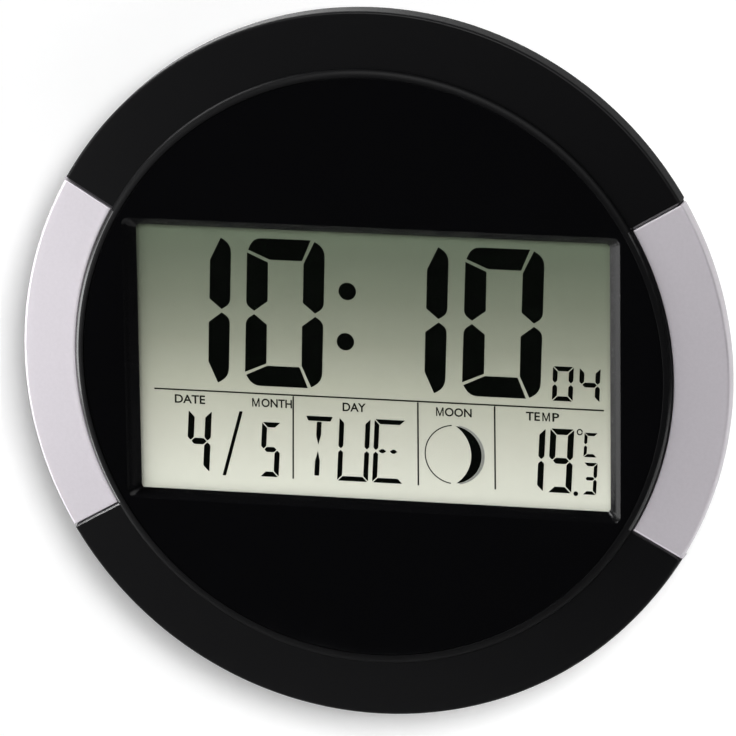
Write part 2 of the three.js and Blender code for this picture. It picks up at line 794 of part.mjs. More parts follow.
// Outer line of the cover from the middle of its flat back to its rim.
function coverOuterLine() {
  const round = [0, 45, 80].map((degrees) => [
    backRadius + backEdgeRound * Math.sin(radians(degrees)),
    backEdgeRound * (1 - Math.cos(radians(degrees))),
  ]);
  return [
    [0, 0],
    ...round,
    [flankTopRadius, flankTopHeight],
    [coverRimRadius - coverRimFillet, ringEndHeight - seatGap - 1.5 * coverRimFillet],
    [coverRimRadius, ringEndHeight - seatGap - coverRimFillet / 2],
    [coverRimRadius, ringEndHeight - seatGap],
  ];
}

const tongueRadius = caseRadius - ringWall - seatGap;

function coverShell() {
  const inner = tongueRadius - tongueThickness;
  return turned([
    ...coverOuterLine(),
    [tongueRadius, ringEndHeight - seatGap],
    [tongueRadius, ringEndHeight + tongueReach],
    [inner, ringEndHeight + tongueReach],
    [inner, ringEndHeight - seatGap - coverWall / 2],
    [flankTopRadius - coverWall * 0.75, flankTopHeight + coverWall * 0.75],
    [backRadius + coverWall / 3, backEdgeRound + coverWall / 2],
    [backRadius - coverWall / 2, coverWall],
    [0, coverWall],
  ]);
}

const coverRoot = coverWall - overrun;      // where posts and walls inside the cover begin

// The space inside the cover's outer surface, which trims what is added to the shell.
const coverSpace = () => turned([
  ...coverOuterLine(),
  [tongueRadius, ringEndHeight - seatGap],
  [0, ringEndHeight - seatGap],
]);

function batteryBay() {
  const walls = block(
    [-bayHalfWidth - bayWall, bayHalfWidth + bayWall], [coverRoot, bayFloor + bayWall],
    [bayBottom - bayWall, bayTop + bayWall],
  );
  const railFloor = doorRecess + doorThickness + slideGap + bayWall;
  const railHalf = doorHalfWidth + doorFlange + slideGap + bayWall;
  const rails = block([-railHalf, railHalf], [0, railFloor], [-caseRadius, doorTop + slideGap + bayWall]);
  return join(walls, rails);
}

function batteryBayCuts() {
  const open = block([-bayHalfWidth, bayHalfWidth], [-overrun, bayFloor], [bayBottom, bayTop]);
  const mouthHalf = doorHalfWidth + slideGap;
  const mouth = block(
    [-mouthHalf, mouthHalf], [-overrun, doorLipThickness + overrun],
    [-caseRadius, doorTop + slideGap],
  );
  const grooveHalf = doorHalfWidth + doorFlange + slideGap;
  const grooveTop = doorRecess + doorThickness + slideGap;
  const groove = block(
    [-grooveHalf, grooveHalf], [doorLipThickness, grooveTop], [-caseRadius, doorTop + slideGap],
  );
  const tonguePocket = block(
    [-doorTongueWidth / 2 - slideGap, doorTongueWidth / 2 + slideGap],
    [doorLipThickness, grooveTop], [doorTop, doorTop + doorTongueReach + slideGap],
  );
  const tabSlots = cellZ.map((z) => block(
    [bayHalfWidth - sheetGap - contactThickness - seatGap, bayHalfWidth],
    [bayFloor - overrun, bayFloor + bayWall + overrun],
    [z - tabWidth / 2 - seatGap, z + tabWidth / 2 + seatGap],
  ));
  return [open, mouth, groove, tonguePocket, tabSlots];
}

function hangingSlot() {
  const neck = slotNeckWidth / 2;
  const lean = Math.asin(neck / slotHeadRadius);
  const shape = new THREE.Shape();
  shape.absarc(0, slotCentreZ, slotHeadRadius, Math.PI / 2 + lean, Math.PI / 2 - lean + 2 * Math.PI);
  shape.lineTo(neck, slotCentreZ + slotRise);
  shape.absarc(0, slotCentreZ + slotRise, neck, 0, Math.PI);
  return plate(shape, -overrun, coverWall + overrun);
}

const slotCentreZ = backRadius - slotEdgeGap - slotRise;
const slotWellHalf = slotHeadRadius + slotWellSide;
const slotWellZ = [slotCentreZ - slotWellHalf, slotCentreZ + slotRise + slotWellHalf];

function slotWell(grow) {
  return block(
    [-slotWellHalf - grow, slotWellHalf + grow],
    [grow ? coverRoot : coverWall, coverWall + slotWellDepth + grow],
    [slotWellZ[0] - grow, slotWellZ[1] + grow],
  );
}

const keyPlaces = keyNames.map((name, i) => ({ name, x: keyPitch * i - keyRowHalf }));

function keyField(grow, low, high) {
  const width = 2 * (keyRowHalf + keyPanelMargin + grow);
  return plate(
    roundedRect(width, keyPanelTall + 2 * grow, keyPanelRadius + grow, 0, keyRowZ), low, high,
  );
}

const keyBoardScrews = [[-keyBoardScrewX, keyRowZ], [keyBoardScrewX, keyRowZ]];

function cradle(x) {
  const half = rodRadius + seatGap + cradleWall;
  const arm = block(
    [x - cradleThickness / 2, x + cradleThickness / 2], [coverRoot, rodHeight + rodRadius * 0.6],
    [rodZ - half, rodZ + half],
  );
  const seat = join(
    barX(rodRadius + seatGap, x - cradleThickness, x + cradleThickness, rodHeight, rodZ),
    block(
      [x - cradleThickness, x + cradleThickness], [rodHeight, rodHeight + 2 * rodRadius],
      [rodZ - rodRadius - seatGap, rodZ + rodRadius + seatGap],
    ),
  );
  return cut(arm, seat);
}

function vents() {
  return Array.from({ length: ventCount }, (_, i) => {
    const z = sensorZ + ventPitch * (i - (ventCount - 1) / 2);
    return plate(
      roundedRect(ventLength, ventWidth, ventWidth * 0.49, sensorX, z),
      -overrun, coverWall + overrun, 1,
    );
  });
}

function rearCover() {
  const wells = coverScrews.map(([x, z]) => (
    pin(wellRadius + wellWall, coverRoot, wellSeatHeight + coverWall, x, z)
  ));
  const wellHoles = coverScrews.map(([x, z]) => pin(wellRadius, -overrun, wellSeatHeight, x, z));
  const shankHoles = coverScrews.map(([x, z]) => (
    screwHole(wellSeatHeight - overrun, wellSeatHeight + coverWall + overrun, x, z)
  ));
  const keyPosts = keyBoardScrews.map(([x, z]) => pin(bossRadius, coverRoot, keyBoardBack, x, z));
  const keyPilots = keyBoardScrews.map(([x, z]) => (
    screwHole(keyPanelHeight + overrun, keyBoardBack + overrun, x, z)
  ));
  const keyHoles = keyPlaces.map(({ x }) => (
    pin(keyRadius + slideGap, -overrun, keyPanelHeight + overrun, x, keyRowZ, 14)
  ));
  const added = join(
    batteryBay(), slotWell(coverWall * 0.7), keyField(coverWall, coverRoot, keyPanelHeight),
    wells, keyPosts, [-cradleX, cradleX].map(cradle),
  );
  return cut(
    join(coverShell(), added.intersect(coverSpace())),
    batteryBayCuts(), hangingSlot(), slotWell(0), keyField(0, -overrun, keyPanelDepth), keyHoles,
    wellHoles, shankHoles, keyPilots, vents(),
  );
}

addPiece('rear_cover', rearCover(), darkPlastic);

// Battery door: a plate with a flange along both sides, its lower edge round like the back's.
function batteryDoor() {
  const topFace = doorRecess + doorThickness;
  const lower = -backRadius - doorFoot;
  const flangeLow = doorLipThickness + slideGap;
  const body = join(
    block([-doorHalfWidth, doorHalfWidth], [doorRecess, topFace], [lower, doorTop]),
    block([-doorHalfWidth - doorFlange, doorHalfWidth + doorFlange], [flangeLow, topFace],
      [lower, doorTop]),
    block([-doorTongueWidth / 2, doorTongueWidth / 2], [flangeLow, topFace],
      [doorTop - overrun, doorTop + doorTongueReach]),
  );
  const grips = Array.from({ length: doorGripCount }, (_, i) => {
    const z = bayBottom + doorGripStart + doorGripPitch * i;
    return block([-doorGripLength / 2, doorGripLength / 2], [0, doorRecess + doorGripDepth],
      [z - doorGripPitch / 4, z + doorGripPitch / 4]);
  });
  const edge = backRadius - doorEdgeInset;
  const round = turned([[0, 0], [edge, 0], [edge, topFace + overrun], [0, topFace + overrun]]);
  return cut(body.intersect(round), grips);
}

addPiece('battery_door', batteryDoor(), darkPlastic);

// Cells and their contacts. The upper cell's positive end points to +x, the lower one's to -x.

function cell(direction) {
  const bodyEnd = cellLength / 2 - cellNubLength;
  const points = [
    [0, -cellLength / 2],
    [cellRadius - cellEdgeRound, -cellLength / 2],
    [cellRadius, cellEdgeRound - cellLength / 2],
    [cellRadius, bodyEnd - cellEdgeRound],
    [cellRadius - cellEdgeRound, bodyEnd],
    [cellNubRadius, bodyEnd],
    [cellNubRadius, cellLength / 2],
    [0, cellLength / 2],
  ].map(([radius, along]) => new THREE.Vector2(radius, along));
  const geometry = new THREE.LatheGeometry(points, 20);
  geometry.rotateZ(-direction * Math.PI / 2);
  return solidOf(geometry);
}

const plateInner = bayHalfWidth - sheetGap - contactThickness;
const cellShift = plateInner - seatGap - cellLength / 2;
const contactHalf = cellRadius * 0.78;

addPiece('cell_upper', cell(1), cellJacket, [cellShift, cellHeight, cellZ[0]]);
addPiece('cell_lower', cell(-1), cellJacket, [-cellShift, cellHeight, cellZ[1]]);

// Helix of wire, wide at the plate and narrower at the cell, with a flat last turn.
class SpringCurve extends THREE.Curve {
  constructor(length) {
    super();
    this.length = length;
  }

  getPoint(t, target = new THREE.Vector3()) {
    const angle = 2 * Math.PI * springTurns * t;
    const radius = springRadius * (1 - springTaper * t);
    return target.set(this.length * t, radius * Math.cos(angle), radius * Math.sin(angle));
  }
}

function coilSpring(length, direction) {
  const wire = new THREE.Shape();
  wire.absarc(0, 0, springWire, 0, 2 * Math.PI);
  const geometry = new THREE.ExtrudeGeometry(wire, {
    steps: springTurns * 8, extrudePath: new SpringCurve(length), curveSegments: 3,
  });
  if (direction < 0) geometry.rotateY(Math.PI);
  return solidOf(geometry);
}

// A stamped plate at the end of the bay. direction is 1 at the -x end, pointing into the bay.
// tabZ and springZ place its solder tab and its spring, or are null where it has none.
function contactPlate(direction, zLow, zHigh, tabZ, springZ) {
  const wall = -direction * (bayHalfWidth - sheetGap);
  const inner = wall + direction * contactThickness;
  const [x0, x1] = direction > 0 ? [wall, inner] : [inner, wall];
  const plateLow = cellHeight - contactHalf;
  const plateHigh = cellHeight + contactHalf;
  const pieces = [block([x0, x1], [plateLow, plateHigh], [zLow, zHigh])];
  if (tabZ !== null) {
    pieces.push(block(
      [x0, x1], [plateHigh - rootDepth, tabTop], [tabZ - tabWidth / 2, tabZ + tabWidth / 2],
    ));
  }
  if (springZ !== null) {
    const spring = coilSpring(springRoom - seatGap - sheetGap, direction);
    pieces.push(spring.translate([inner - direction * contactThickness / 2, -cellHeight, springZ]));
  }
  return join(pieces);
}

addPiece(
  'contact_bridge',
  contactPlate(1, cellZ[1] - contactHalf, cellZ[0] + contactHalf, null, cellZ[0]),
  nickel,
);
addPiece(
  'contact_positive',
  contactPlate(-1, cellZ[0] - contactHalf, cellZ[0] + contactHalf, cellZ[0], null),
  nickel,
);
addPiece(
  'contact_negative',
  contactPlate(-1, cellZ[1] - contactHalf, cellZ[1] + contactHalf, cellZ[1], cellZ[1]),
  nickel,
);

// Keys, their switches and the small board behind them

function keyCap() {
  const shoulder = keyPanelHeight + seatGap;
  return turned([
    [0, keyTopRecess],
    [keyRadius - keyEdgeChamfer, keyTopRecess],
    [keyRadius, keyTopRecess + keyEdgeChamfer],
    [keyRadius, shoulder],
    [keyRadius + keyFlange, shoulder],
    [keyRadius + keyFlange, shoulder + keyFlangeThickness],
    [keyStemRadius, shoulder + keyFlangeThickness],
    [keyStemRadius, plungerTip - sheetGap],
    [0, plungerTip - sheetGap],
  ], 14);
}

function tactSwitch() {
  const bore = plungerRadius + seatGap;
  const half = switchSide / 2;
  return cut(
    block([-half, half], [switchTop, keyBoardBack], [-half, half]),
    pin(bore, switchTop - overrun, plungerEnd + keyTravel + seatGap),
  );
}

const plunger = () => pin(plungerRadius, plungerTip, plungerEnd);

keyPlaces.forEach(({ name, x }) => {
  addPiece(`${name}_key`, keyCap(), keyGrey, [x, 0, keyRowZ]);
  addPiece(`${name}_plunger`, plunger(), plungerWhite, [x, 0, keyRowZ]);
  addPiece(`${name}_switch`, tactSwitch(), epoxyBlack, [x, 0, keyRowZ]);
});

function keyBoard() {
  const width = 2 * (keyRowHalf + keyBoardMargin);
  const holes = keyBoardScrews.map(([x, z]) => (
    screwHole(keyBoardBack - overrun, keyBoardFront + overrun, x, z)
  ));
  const shape = roundedRect(width, keyBoardTall, boardCornerRadius, 0, keyRowZ);
  return cut(plate(shape, keyBoardBack, keyBoardFront), holes);
}

addPiece('key_board', keyBoard(), boardGreen);

// Leads between the boards, the contacts and the antenna

// A round wire on a smooth line through [x, height, z] points.
function lead(radius, points) {
  const corners = points.map(([x, height, z]) => new THREE.Vector3(x, -height, z));
  const section = new THREE.Shape();
  section.absarc(0, 0, radius, 0, 2 * Math.PI);
  return solidOf(new THREE.ExtrudeGeometry(section, {
    steps: leadSteps, extrudePath: new THREE.CatmullRomCurve3(corners), curveSegments: 3,
  }));
}

// The battery leads start beside their tabs and end on the back of the main board.
const tabSide = plateInner - seatGap - leadRadius;
const overBay = tabTop - leadRadius;
const underBoard = boardBack - seatGap - leadRadius;
const leadStart = tabWidth / 2;
const besideRed = tabSide - leadTurn - leadRadius;
addPiece('battery_lead_red', lead(leadRadius, [
  [tabSide, overBay, cellZ[0] - leadStart],
  [tabSide, overBay, bayTop],
  [tabSide, underBoard, boardBottom - leadTurn],
  [tabSide, underBoard, boardBottom + solderInset],
]), leadRed);
addPiece('battery_lead_black', lead(leadRadius, [
  [tabSide, overBay, cellZ[1] - leadStart],
  [besideRed, overBay, cellZ[1] + 2 * leadTurn],
  [besideRed, overBay, bayTop],
  [besideRed, underBoard, boardBottom - leadTurn],
  [besideRed, underBoard, boardBottom + solderInset],
]), leadBlack);

// The antenna's lead starts on the end of the winding.
const windingMiddle = rodHeight + rodRadius + seatGap + coilThickness / 2;
const coilEnd = -coilLength / 2 - seatGap;
addPiece('antenna_lead', lead(antennaLeadRadius, [
  [coilEnd, windingMiddle, rodZ],
  [coilEnd - leadTurn, windingMiddle, rodZ - leadTurn],
  [coilEnd - 2 * leadTurn, keyBoardFront + leadTurn, keyRowZ],
  [coilEnd - 2 * leadTurn, underBoard, boardTop + leadTurn],
  [coilEnd - 2 * leadTurn, underBoard, boardTop - solderInset],
]), leadBlack);

// Flat cable: an S in height from the key board's front to the main board's back.
function ribbon() {
  const start = keyRowZ - keyBoardTall / 2 + ribbonEndLength;
  const end = boardTop - ribbonEndLength;
  const low = keyBoardFront + sheetGap;
  const high = boardBack - sheetGap - ribbonThickness;
  const middle = (start + end) / 2;
  const outline = new THREE.Shape();
  outline.moveTo(start, low);
  outline.lineTo(start - ribbonEndLength, low);
  outline.bezierCurveTo(middle, low, middle, high, end + ribbonEndLength, high);
  outline.lineTo(end, high);
  outline.lineTo(end, high + ribbonThickness);
  outline.lineTo(end + ribbonEndLength, high + ribbonThickness);
  outline.bezierCurveTo(
    middle, high + ribbonThickness, middle, low + ribbonThickness,
    start - ribbonEndLength, low + ribbonThickness,
  );
  outline.lineTo(start, low + ribbonThickness);
  const geometry = new THREE.ExtrudeGeometry(outline, {
    depth: ribbonWidth, bevelEnabled: false, curveSegments: 10,
  });
  geometry.applyMatrix4(new THREE.Matrix4().makeBasis(
    new THREE.Vector3(0, 0, 1), new THREE.Vector3(0, -1, 0), new THREE.Vector3(1, 0, 0),
  ));
  geometry.translate(-ribbonWidth / 2, 0, 0);
  return solidOf(geometry);
}

addPiece('key_ribbon', ribbon(), ribbonGrey);

// Self-tapping screws. A screw's head faces the back unless it is turned round.

function screw(length, facing = 1) {
  const tip = screwRadius * 1.2;
  const profile = [
    [0, -screwHeadHeight],
    [screwHeadRadius * 0.8, -screwHeadHeight],
    [screwHeadRadius, 0],
    [screwRadius, 0],
    [screwRadius, length - tip],
    [0, length],
  ].map(([radius, height]) => [radius, facing * height]);
  return turned(profile, screwSegments);
}

function addScrews(name, places, seatHeight, length, facing = 1) {
  places.forEach(([x, z], i) => {
    const height = seatHeight - facing * seatGap;
    addPiece(`${name}_${i + 1}`, screw(length, facing), zinc, [x, height, z]);
  });
}

const earBack = earFront - trayEarThickness;
addScrews('cover_screw', coverScrews, wellSeatHeight, faceHeight(coverScrewRing) - 3 - wellSeatHeight);
addScrews('tray_screw', trayEars, earBack, panelBackHeight - earBack);
addScrews('board_screw', boardScrews, boardBack, trayFloorBack - boardBack);
addScrews('key_board_screw', keyBoardScrews, keyBoardFront, keyBoardThickness + 6, -1);

export default clock;
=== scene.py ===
"""Digital wall clock, 300 mm across, dressed for rendering.

Metres, +Z up, +Y into the wall. The origin is the middle of the flat back, which lies on the wall.
Sizes are written in millimetres, and a height is a distance from the wall towards the viewer.
"""

import bmesh
import bpy
import numpy as np
from mathutils import Matrix, Vector


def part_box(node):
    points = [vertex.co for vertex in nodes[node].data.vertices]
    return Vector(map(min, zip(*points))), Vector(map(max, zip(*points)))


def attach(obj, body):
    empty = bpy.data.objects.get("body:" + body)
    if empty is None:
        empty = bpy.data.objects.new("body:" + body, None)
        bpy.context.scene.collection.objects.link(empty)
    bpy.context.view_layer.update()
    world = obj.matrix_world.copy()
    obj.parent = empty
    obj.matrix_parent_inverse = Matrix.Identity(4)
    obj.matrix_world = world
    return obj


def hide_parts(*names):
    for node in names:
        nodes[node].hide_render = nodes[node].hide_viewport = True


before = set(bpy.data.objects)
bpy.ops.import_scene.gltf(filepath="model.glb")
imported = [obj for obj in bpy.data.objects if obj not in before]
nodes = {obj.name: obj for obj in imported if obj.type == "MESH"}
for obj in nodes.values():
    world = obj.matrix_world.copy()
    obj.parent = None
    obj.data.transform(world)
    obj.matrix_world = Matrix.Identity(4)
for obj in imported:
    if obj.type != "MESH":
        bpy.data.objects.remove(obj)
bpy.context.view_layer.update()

# Camera: a long lens a little to the right of the clock and above it, fitted to the picture's
# outlines. The picture is square, so the sensor's width is also its height.

def scene_object(name, data):
    """A new object with that data, linked to the scene."""
    made = bpy.data.objects.new(name, data)
    bpy.context.scene.collection.objects.link(made)
    return made


camera_data = bpy.data.cameras.new("camera")
camera_data.lens = 293.5
camera_data.sensor_width = 36
camera_data.clip_end = 20
camera = scene_object("camera", camera_data)
view_right = Vector((0.9718, 0.2355, -0.0133))
view_forward = Vector((-0.2311, 0.9393, -0.2537))
view_up = Vector((-0.0472, 0.2496, 0.9672))
camera.matrix_world = Matrix.Translation((0.57124, -2.35841, 0.62884)) @ Matrix(
    (view_right, view_up, -view_forward)
).transposed().to_4x4()
bpy.context.scene.camera = camera


# Bezel ring: one injection moulding in black ABS with a satin, spark-eroded face. A rounded lip
# holds the front panel, and two shallow pockets on its left and right take the silver trims.

def linear(code):
    """An sRGB hex colour as linear red, green, blue and alpha."""
    share = np.array([int(code[i:i + 2], 16) for i in (1, 3, 5)]) / 255
    curved = ((share + 0.055) / 1.055) ** 2.4
    return (*np.where(share <= 0.04045, share / 12.92, curved), 1.0)


def set_inputs(node, inputs):
    """Gives each named input of a shader node a value, or a link from a socket or from a node,
    which stands for its first output."""
    for key, value in inputs.items():
        if isinstance(value, bpy.types.Node):
            value = value.outputs[0]
        if isinstance(value, bpy.types.NodeSocket):
            node.id_data.links.new(value, node.inputs[key])
        else:
            node.inputs[key].default_value = value


def add_node(tree, kind, inputs=None, **settings):
    """Adds a shader node of a kind, named without its ShaderNode, with its own settings."""
    made = tree.nodes.new("ShaderNode" + kind)
    for key, value in settings.items():
        setattr(made, key, value)
    set_inputs(made, inputs or {})
    return made


def open_material(material):
    """A material's node tree, its Principled shader and the places on its surface in metres."""
    tree = material.node_tree
    place = add_node(tree, "TexCoord").outputs["Object"]
    return tree, tree.nodes["Principled BSDF"], place


def add_tint(material, dark, light, size):
    """Uneven colour: noise of that size in mm moves the base colour between two hex colours."""
    tree, shader, place = open_material(material)
    noise = add_node(tree, "TexNoise", {"Vector": place, "Scale": 1000 / size, "Detail": 3.0})
    share = add_node(tree, "MapRange", {"Value": noise, "From Min": 0.35, "From Max": 0.65})
    mixed = add_node(
        tree, "Mix", {"Factor": share, 6: linear(dark), 7: linear(light)}, data_type="RGBA",
    )
    set_inputs(shader, {"Base Color": mixed.outputs[2]})


def add_grain(material, size, depth, smoothest, roughest):
    """Moulded or sprayed grain: noise of that size in mm dents the surface by depth in mm and
    moves its roughness between two values, and its colour by a tenth unless it has a tint."""
    tree, shader, place = open_material(material)
    noise = add_node(tree, "TexNoise", {"Vector": place, "Scale": 1000 / size, "Detail": 2.0})
    spread = add_node(tree, "MapRange", {
        "Value": noise, "From Min": 0.3, "From Max": 0.7, "To Min": smoothest, "To Max": roughest,
    })
    bump = add_node(tree, "Bump", {"Height": noise, "Distance": depth / 1000})
    set_inputs(shader, {"Roughness": spread, "Normal": bump})
    if not shader.inputs["Base Color"].is_linked:
        colour = np.array(shader.inputs["Base Color"].default_value[:3])
        uneven = add_node(tree, "Mix", {
            "Factor": noise, 6: (*colour * 0.9, 1.0), 7: (*colour * 1.1, 1.0),
        }, data_type="RGBA")
        set_inputs(shader, {"Base Color": uneven.outputs[2]})


def new_material(name, colour, roughness, tint=None, grain=None, **sockets):
    """A material with one Principled shader. A tint and a grain are told as their functions say."""
    made = bpy.data.materials.new(name)
    made.use_nodes = True
    set_inputs(made.node_tree.nodes["Principled BSDF"], {
        "Base Color": linear(colour), "Roughness": roughness,
        **{key.replace("_", " "): value for key, value in sockets.items()},
    })
    if tint:
        add_tint(made, *tint)
    if grain:
        add_grain(made, *grain)
    return made


def new_piece(name, places, faces, material, slot, body="case", smooth=35):
    """A mesh piece from places in mm as x, y, z. Its faces are turned outwards by the sign of the
    volume they enclose, and edges sharper than smooth degrees stay sharp."""
    places = np.asarray(places, float) / 1000
    mesh = bpy.data.meshes.new(name)
    mesh.from_pydata(places.tolist(), [], [list(map(int, face)) for face in faces])
    mesh.calc_loop_triangles()
    triangles = np.array([triangle.vertices for triangle in mesh.loop_triangles])
    a, b, c = places[triangles].transpose(1, 0, 2)
    if np.einsum("ij,ij->", a, np.cross(b, c)) < 0:
        mesh.flip_normals()
    mesh.shade_smooth()
    mesh.set_sharp_from_angle(angle=np.radians(smooth))
    piece = scene_object(name, mesh)
    mesh.materials.append(material)
    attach(piece, body)
    return piece


def grid_faces(rows, columns, close_rows, close_columns):
    """Four-sided faces of a grid of rows x columns points, closed along either way or both."""
    row = np.arange(rows if close_rows else rows - 1)[:, None]
    column = np.arange(columns if close_columns else columns - 1)[None, :]
    below, beside = (row + 1) % rows, (column + 1) % columns
    quads = [row * columns + column, row * columns + beside, below * columns + beside,
             below * columns + column]
    return np.stack(np.broadcast_arrays(*quads), -1).reshape(-1, 4)


def arc(centre, radii, start, stop, steps):
    """Points of an ellipse's arc: the centre plus the two radii times cosine and sine. A circle
    takes one radius."""
    angle = np.radians(np.linspace(start, stop, steps))
    return np.asarray(centre) + np.column_stack([np.cos(angle), np.sin(angle)]) * radii


case_radius, ring_inside, ring_end, ring_flare = 150.0, 146.8, 22.0, 0.29
edge_height, edge_round, slope_rise, face_thickness = 30.0, 1.2, 1.5, 3.2
lip_inner, lip_outer, lip_round, crest_height = 123.1, 126.7, 0.15, 33.4
ledge_inner, ledge_low, ledge_high = 117.5, 27.9, 30.1
pocket_depth, pocket_chamfer = 1.8, 0.95
trim_half_angle = 30.0


def face_height(radius):
    """Height of the ring's face: a straight slope from its edge up to the foot of the lip."""
    run = (case_radius - edge_round - radius) / (case_radius - edge_round - lip_outer)
    return edge_height + slope_rise * run


def ring_front(drop):
    """Section of the ring's side, rounded edge and face, the side flared out a little towards its
    end behind. A drop in mm sinks it for a trim."""
    side = case_radius - drop
    corner = arc((side - edge_round, edge_height - edge_round - drop), edge_round, 0, 90, 9)
    face = np.linspace(side - edge_round, lip_outer, 12)[1:]
    flare = ring_flare if drop == 0 else 0.0
    return np.vstack([
        [(side + flare, ring_end)], corner, np.column_stack([face, face_height(face) - drop]),
    ])


# The lip rises in a quarter of an ellipse, up to a small round at the panel's edge.
lip_foot = face_height(lip_outer)
lip_section = np.vstack([
    arc((lip_inner + lip_round, lip_foot),
        (lip_outer - lip_inner - lip_round, crest_height - lip_foot), 0, 90, 24),
    arc((lip_inner + lip_round, crest_height - lip_round), lip_round, 90, 180, 5)[1:],
])
ring_back = [
    (lip_inner, ledge_high), (ledge_inner, ledge_high), (ledge_inner, ledge_low),
    (lip_outer, ledge_low), (ring_inside, edge_height - face_thickness), (ring_inside, ring_end),
]
ring_kinds = np.array([np.vstack([ring_front(drop), lip_section, ring_back])
                       for drop in (0.0, pocket_chamfer, pocket_depth)])


def turned(radius, height, turn):
    """Points turned round the clock's axis by an angle in radians: x is the radius times its
    cosine, z the radius times its sine, and y is minus the height."""
    points = np.broadcast_arrays(radius * np.cos(turn), -height, radius * np.sin(turn))
    return np.stack(points, -1).reshape(-1, 3)


# Sections of the plain ring have kind 0, those of the pockets kind 2. A pocket ends in a chamfer:
# a section of kind 1 stands on the cut, and the first plain one a little off it.
plain_count = 180 - 2 * int(trim_half_angle)
pocket_count = 2 * int(trim_half_angle)
half_angles = np.concatenate([
    np.linspace(-trim_half_angle, trim_half_angle, pocket_count + 1),
    [trim_half_angle],
    np.linspace(trim_half_angle, 180 - trim_half_angle, plain_count + 1),
    [180 - trim_half_angle],
])
half_kinds = np.repeat([2, 1, 0, 1], [pocket_count + 1, 1, plain_count + 1, 1])
half_shift = np.zeros(len(half_kinds))
half_shift[[pocket_count + 2, -2]] = pocket_chamfer, -pocket_chamfer
ring_angles = np.concatenate([half_angles, half_angles + 180])
kinds, shift = np.tile(half_kinds, 2), np.tile(half_shift, 2)
ring_sections = ring_kinds[kinds]

# Spark-eroded moulding: a fine, even grain of about 0.25 mm, drawn at 0.5 mm so that it shows.
satin_abs = new_material(
    "satin_black_abs", "#070708", 0.32, grain=(0.5, 0.01, 0.28, 0.35), Specular_IOR_Level=0.12,
)
# The lip's steep side is polished where it stands beside a trim: a fine bright line.
polished_abs = new_material(
    "polished_black_abs", "#070708", 0.2, grain=(2.0, 0.001, 0.17, 0.24), IOR=1.53,
)
# The ring's side is eroded more deeply than its face, and so is duller.
eroded_abs = new_material(
    "eroded_black_abs", "#070708", 0.6, grain=(0.8, 0.02, 0.55, 0.68), Specular_IOR_Level=0.12,
)
# The lip is buffed: its highlights are broad and dim.
buffed_abs = new_material(
    "buffed_black_abs", "#070708", 0.4, grain=(0.5, 0.004, 0.37, 0.43), Specular_IOR_Level=0.08,
)
# The pockets' chamfered ends are polished and lacquered, and flash brighter still.
lacquered_abs = new_material(
    "lacquered_black_abs", "#070708", 0.2, grain=(2.0, 0.001, 0.17, 0.24), IOR=1.53,
    Coat_Weight=1.0, Coat_Roughness=0.15,
)

# A shift in mm moves a whole section sideways: its turn grows by the shift over the radius.
radius, height = ring_sections[..., 0], ring_sections[..., 1]
turn = np.radians(ring_angles)[:, None] + shift[:, None] / radius
ring = new_piece(
    "bezel_ring_satin", turned(radius, height, turn), grid_faces(*radius.shape, True, True),
    satin_abs, "satin_black",
)
for finished in (polished_abs, eroded_abs, buffed_abs, lacquered_abs):
    ring.data.materials.append(finished)
# The materials' places after the satin one, and the rows where the side ends and the lip starts.
polished, eroded, buffed, lacquered = 1, 2, 3, 4
side_end, lip_start = 6, len(ring_front(0))
steep_side = slice(lip_start + 6, lip_start + 14)
beside_chamfer = kinds + np.roll(kinds, -1) == 1
finish = np.zeros(radius.shape, np.int32)
finish[:, :side_end] = eroded
finish[:, lip_start:lip_start + len(lip_section)] = buffed
finish[kinds == 2, steep_side] = polished
finish[beside_chamfer, side_end:lip_start] = lacquered
ring.data.polygons.foreach_set("material_index", finish.ravel())
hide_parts("bezel_ring")


# Silver trims: two mouldings in ABS, sprayed with aluminium paint, that follow the ring's face and
# fold down its side. Each is held by three posts whose ends are melted flat behind the ring.

# The trims' face lies a little lower than the ring's, so that the pockets' edges show round them.
trim_thickness, trim_gap, trim_round, trim_sunk, trim_columns = 1.5, 0.35, 0.6, 0.5, 97
inner_edge = lip_outer + 0.25
skirt_inside = case_radius - trim_thickness
trim_inner_top = face_height(inner_edge) - trim_sunk

# Flakes under a satin lacquer catch the light a little unevenly. They are far finer than the
# grains of 0.6 mm that are drawn.
silver_paint = new_material(
    "sprayed_aluminium_paint", "#c3bec4", 0.4, ("#c2bdc3", "#c5c0c6", 1.2),
    (0.6, 0.002, 0.38, 0.43), Metallic=0.45, Coat_Weight=0.25, Coat_Roughness=0.22,
)

trim_front = ring_front(0)[:-1]
trim_front[1:, 1] -= trim_sunk
trim_section = np.vstack([
    trim_front,
    arc((inner_edge + trim_round, trim_inner_top - trim_round), trim_round, 90, 180, 6),
    [(inner_edge, trim_inner_top - trim_thickness)],
    [(skirt_inside, face_height(skirt_inside) - trim_thickness), (skirt_inside, ring_end)],
])


def trim_places(middle):
    """Places of a trim: its section turned through the angles whose ends lie on straight cuts,
    parallel to the radius and the gap away from it."""
    radius, height = trim_section.T
    reach = np.radians(trim_half_angle) - np.arcsin(trim_gap / radius)
    turn = np.radians(middle) + np.linspace(-1, 1, trim_columns)[:, None] * reach
    return turned(radius, height, turn)


def soften_edges(piece, width, segments=3, angle=50):
    """Rounds a piece's sharp edges by a width in mm."""
    bevel = piece.modifiers.new("rounded_edges", "BEVEL")
    bevel.width = width / 1000
    bevel.segments = segments
    bevel.limit_method = "ANGLE"
    bevel.angle_limit = np.radians(angle)
    bevel.harden_normals = False


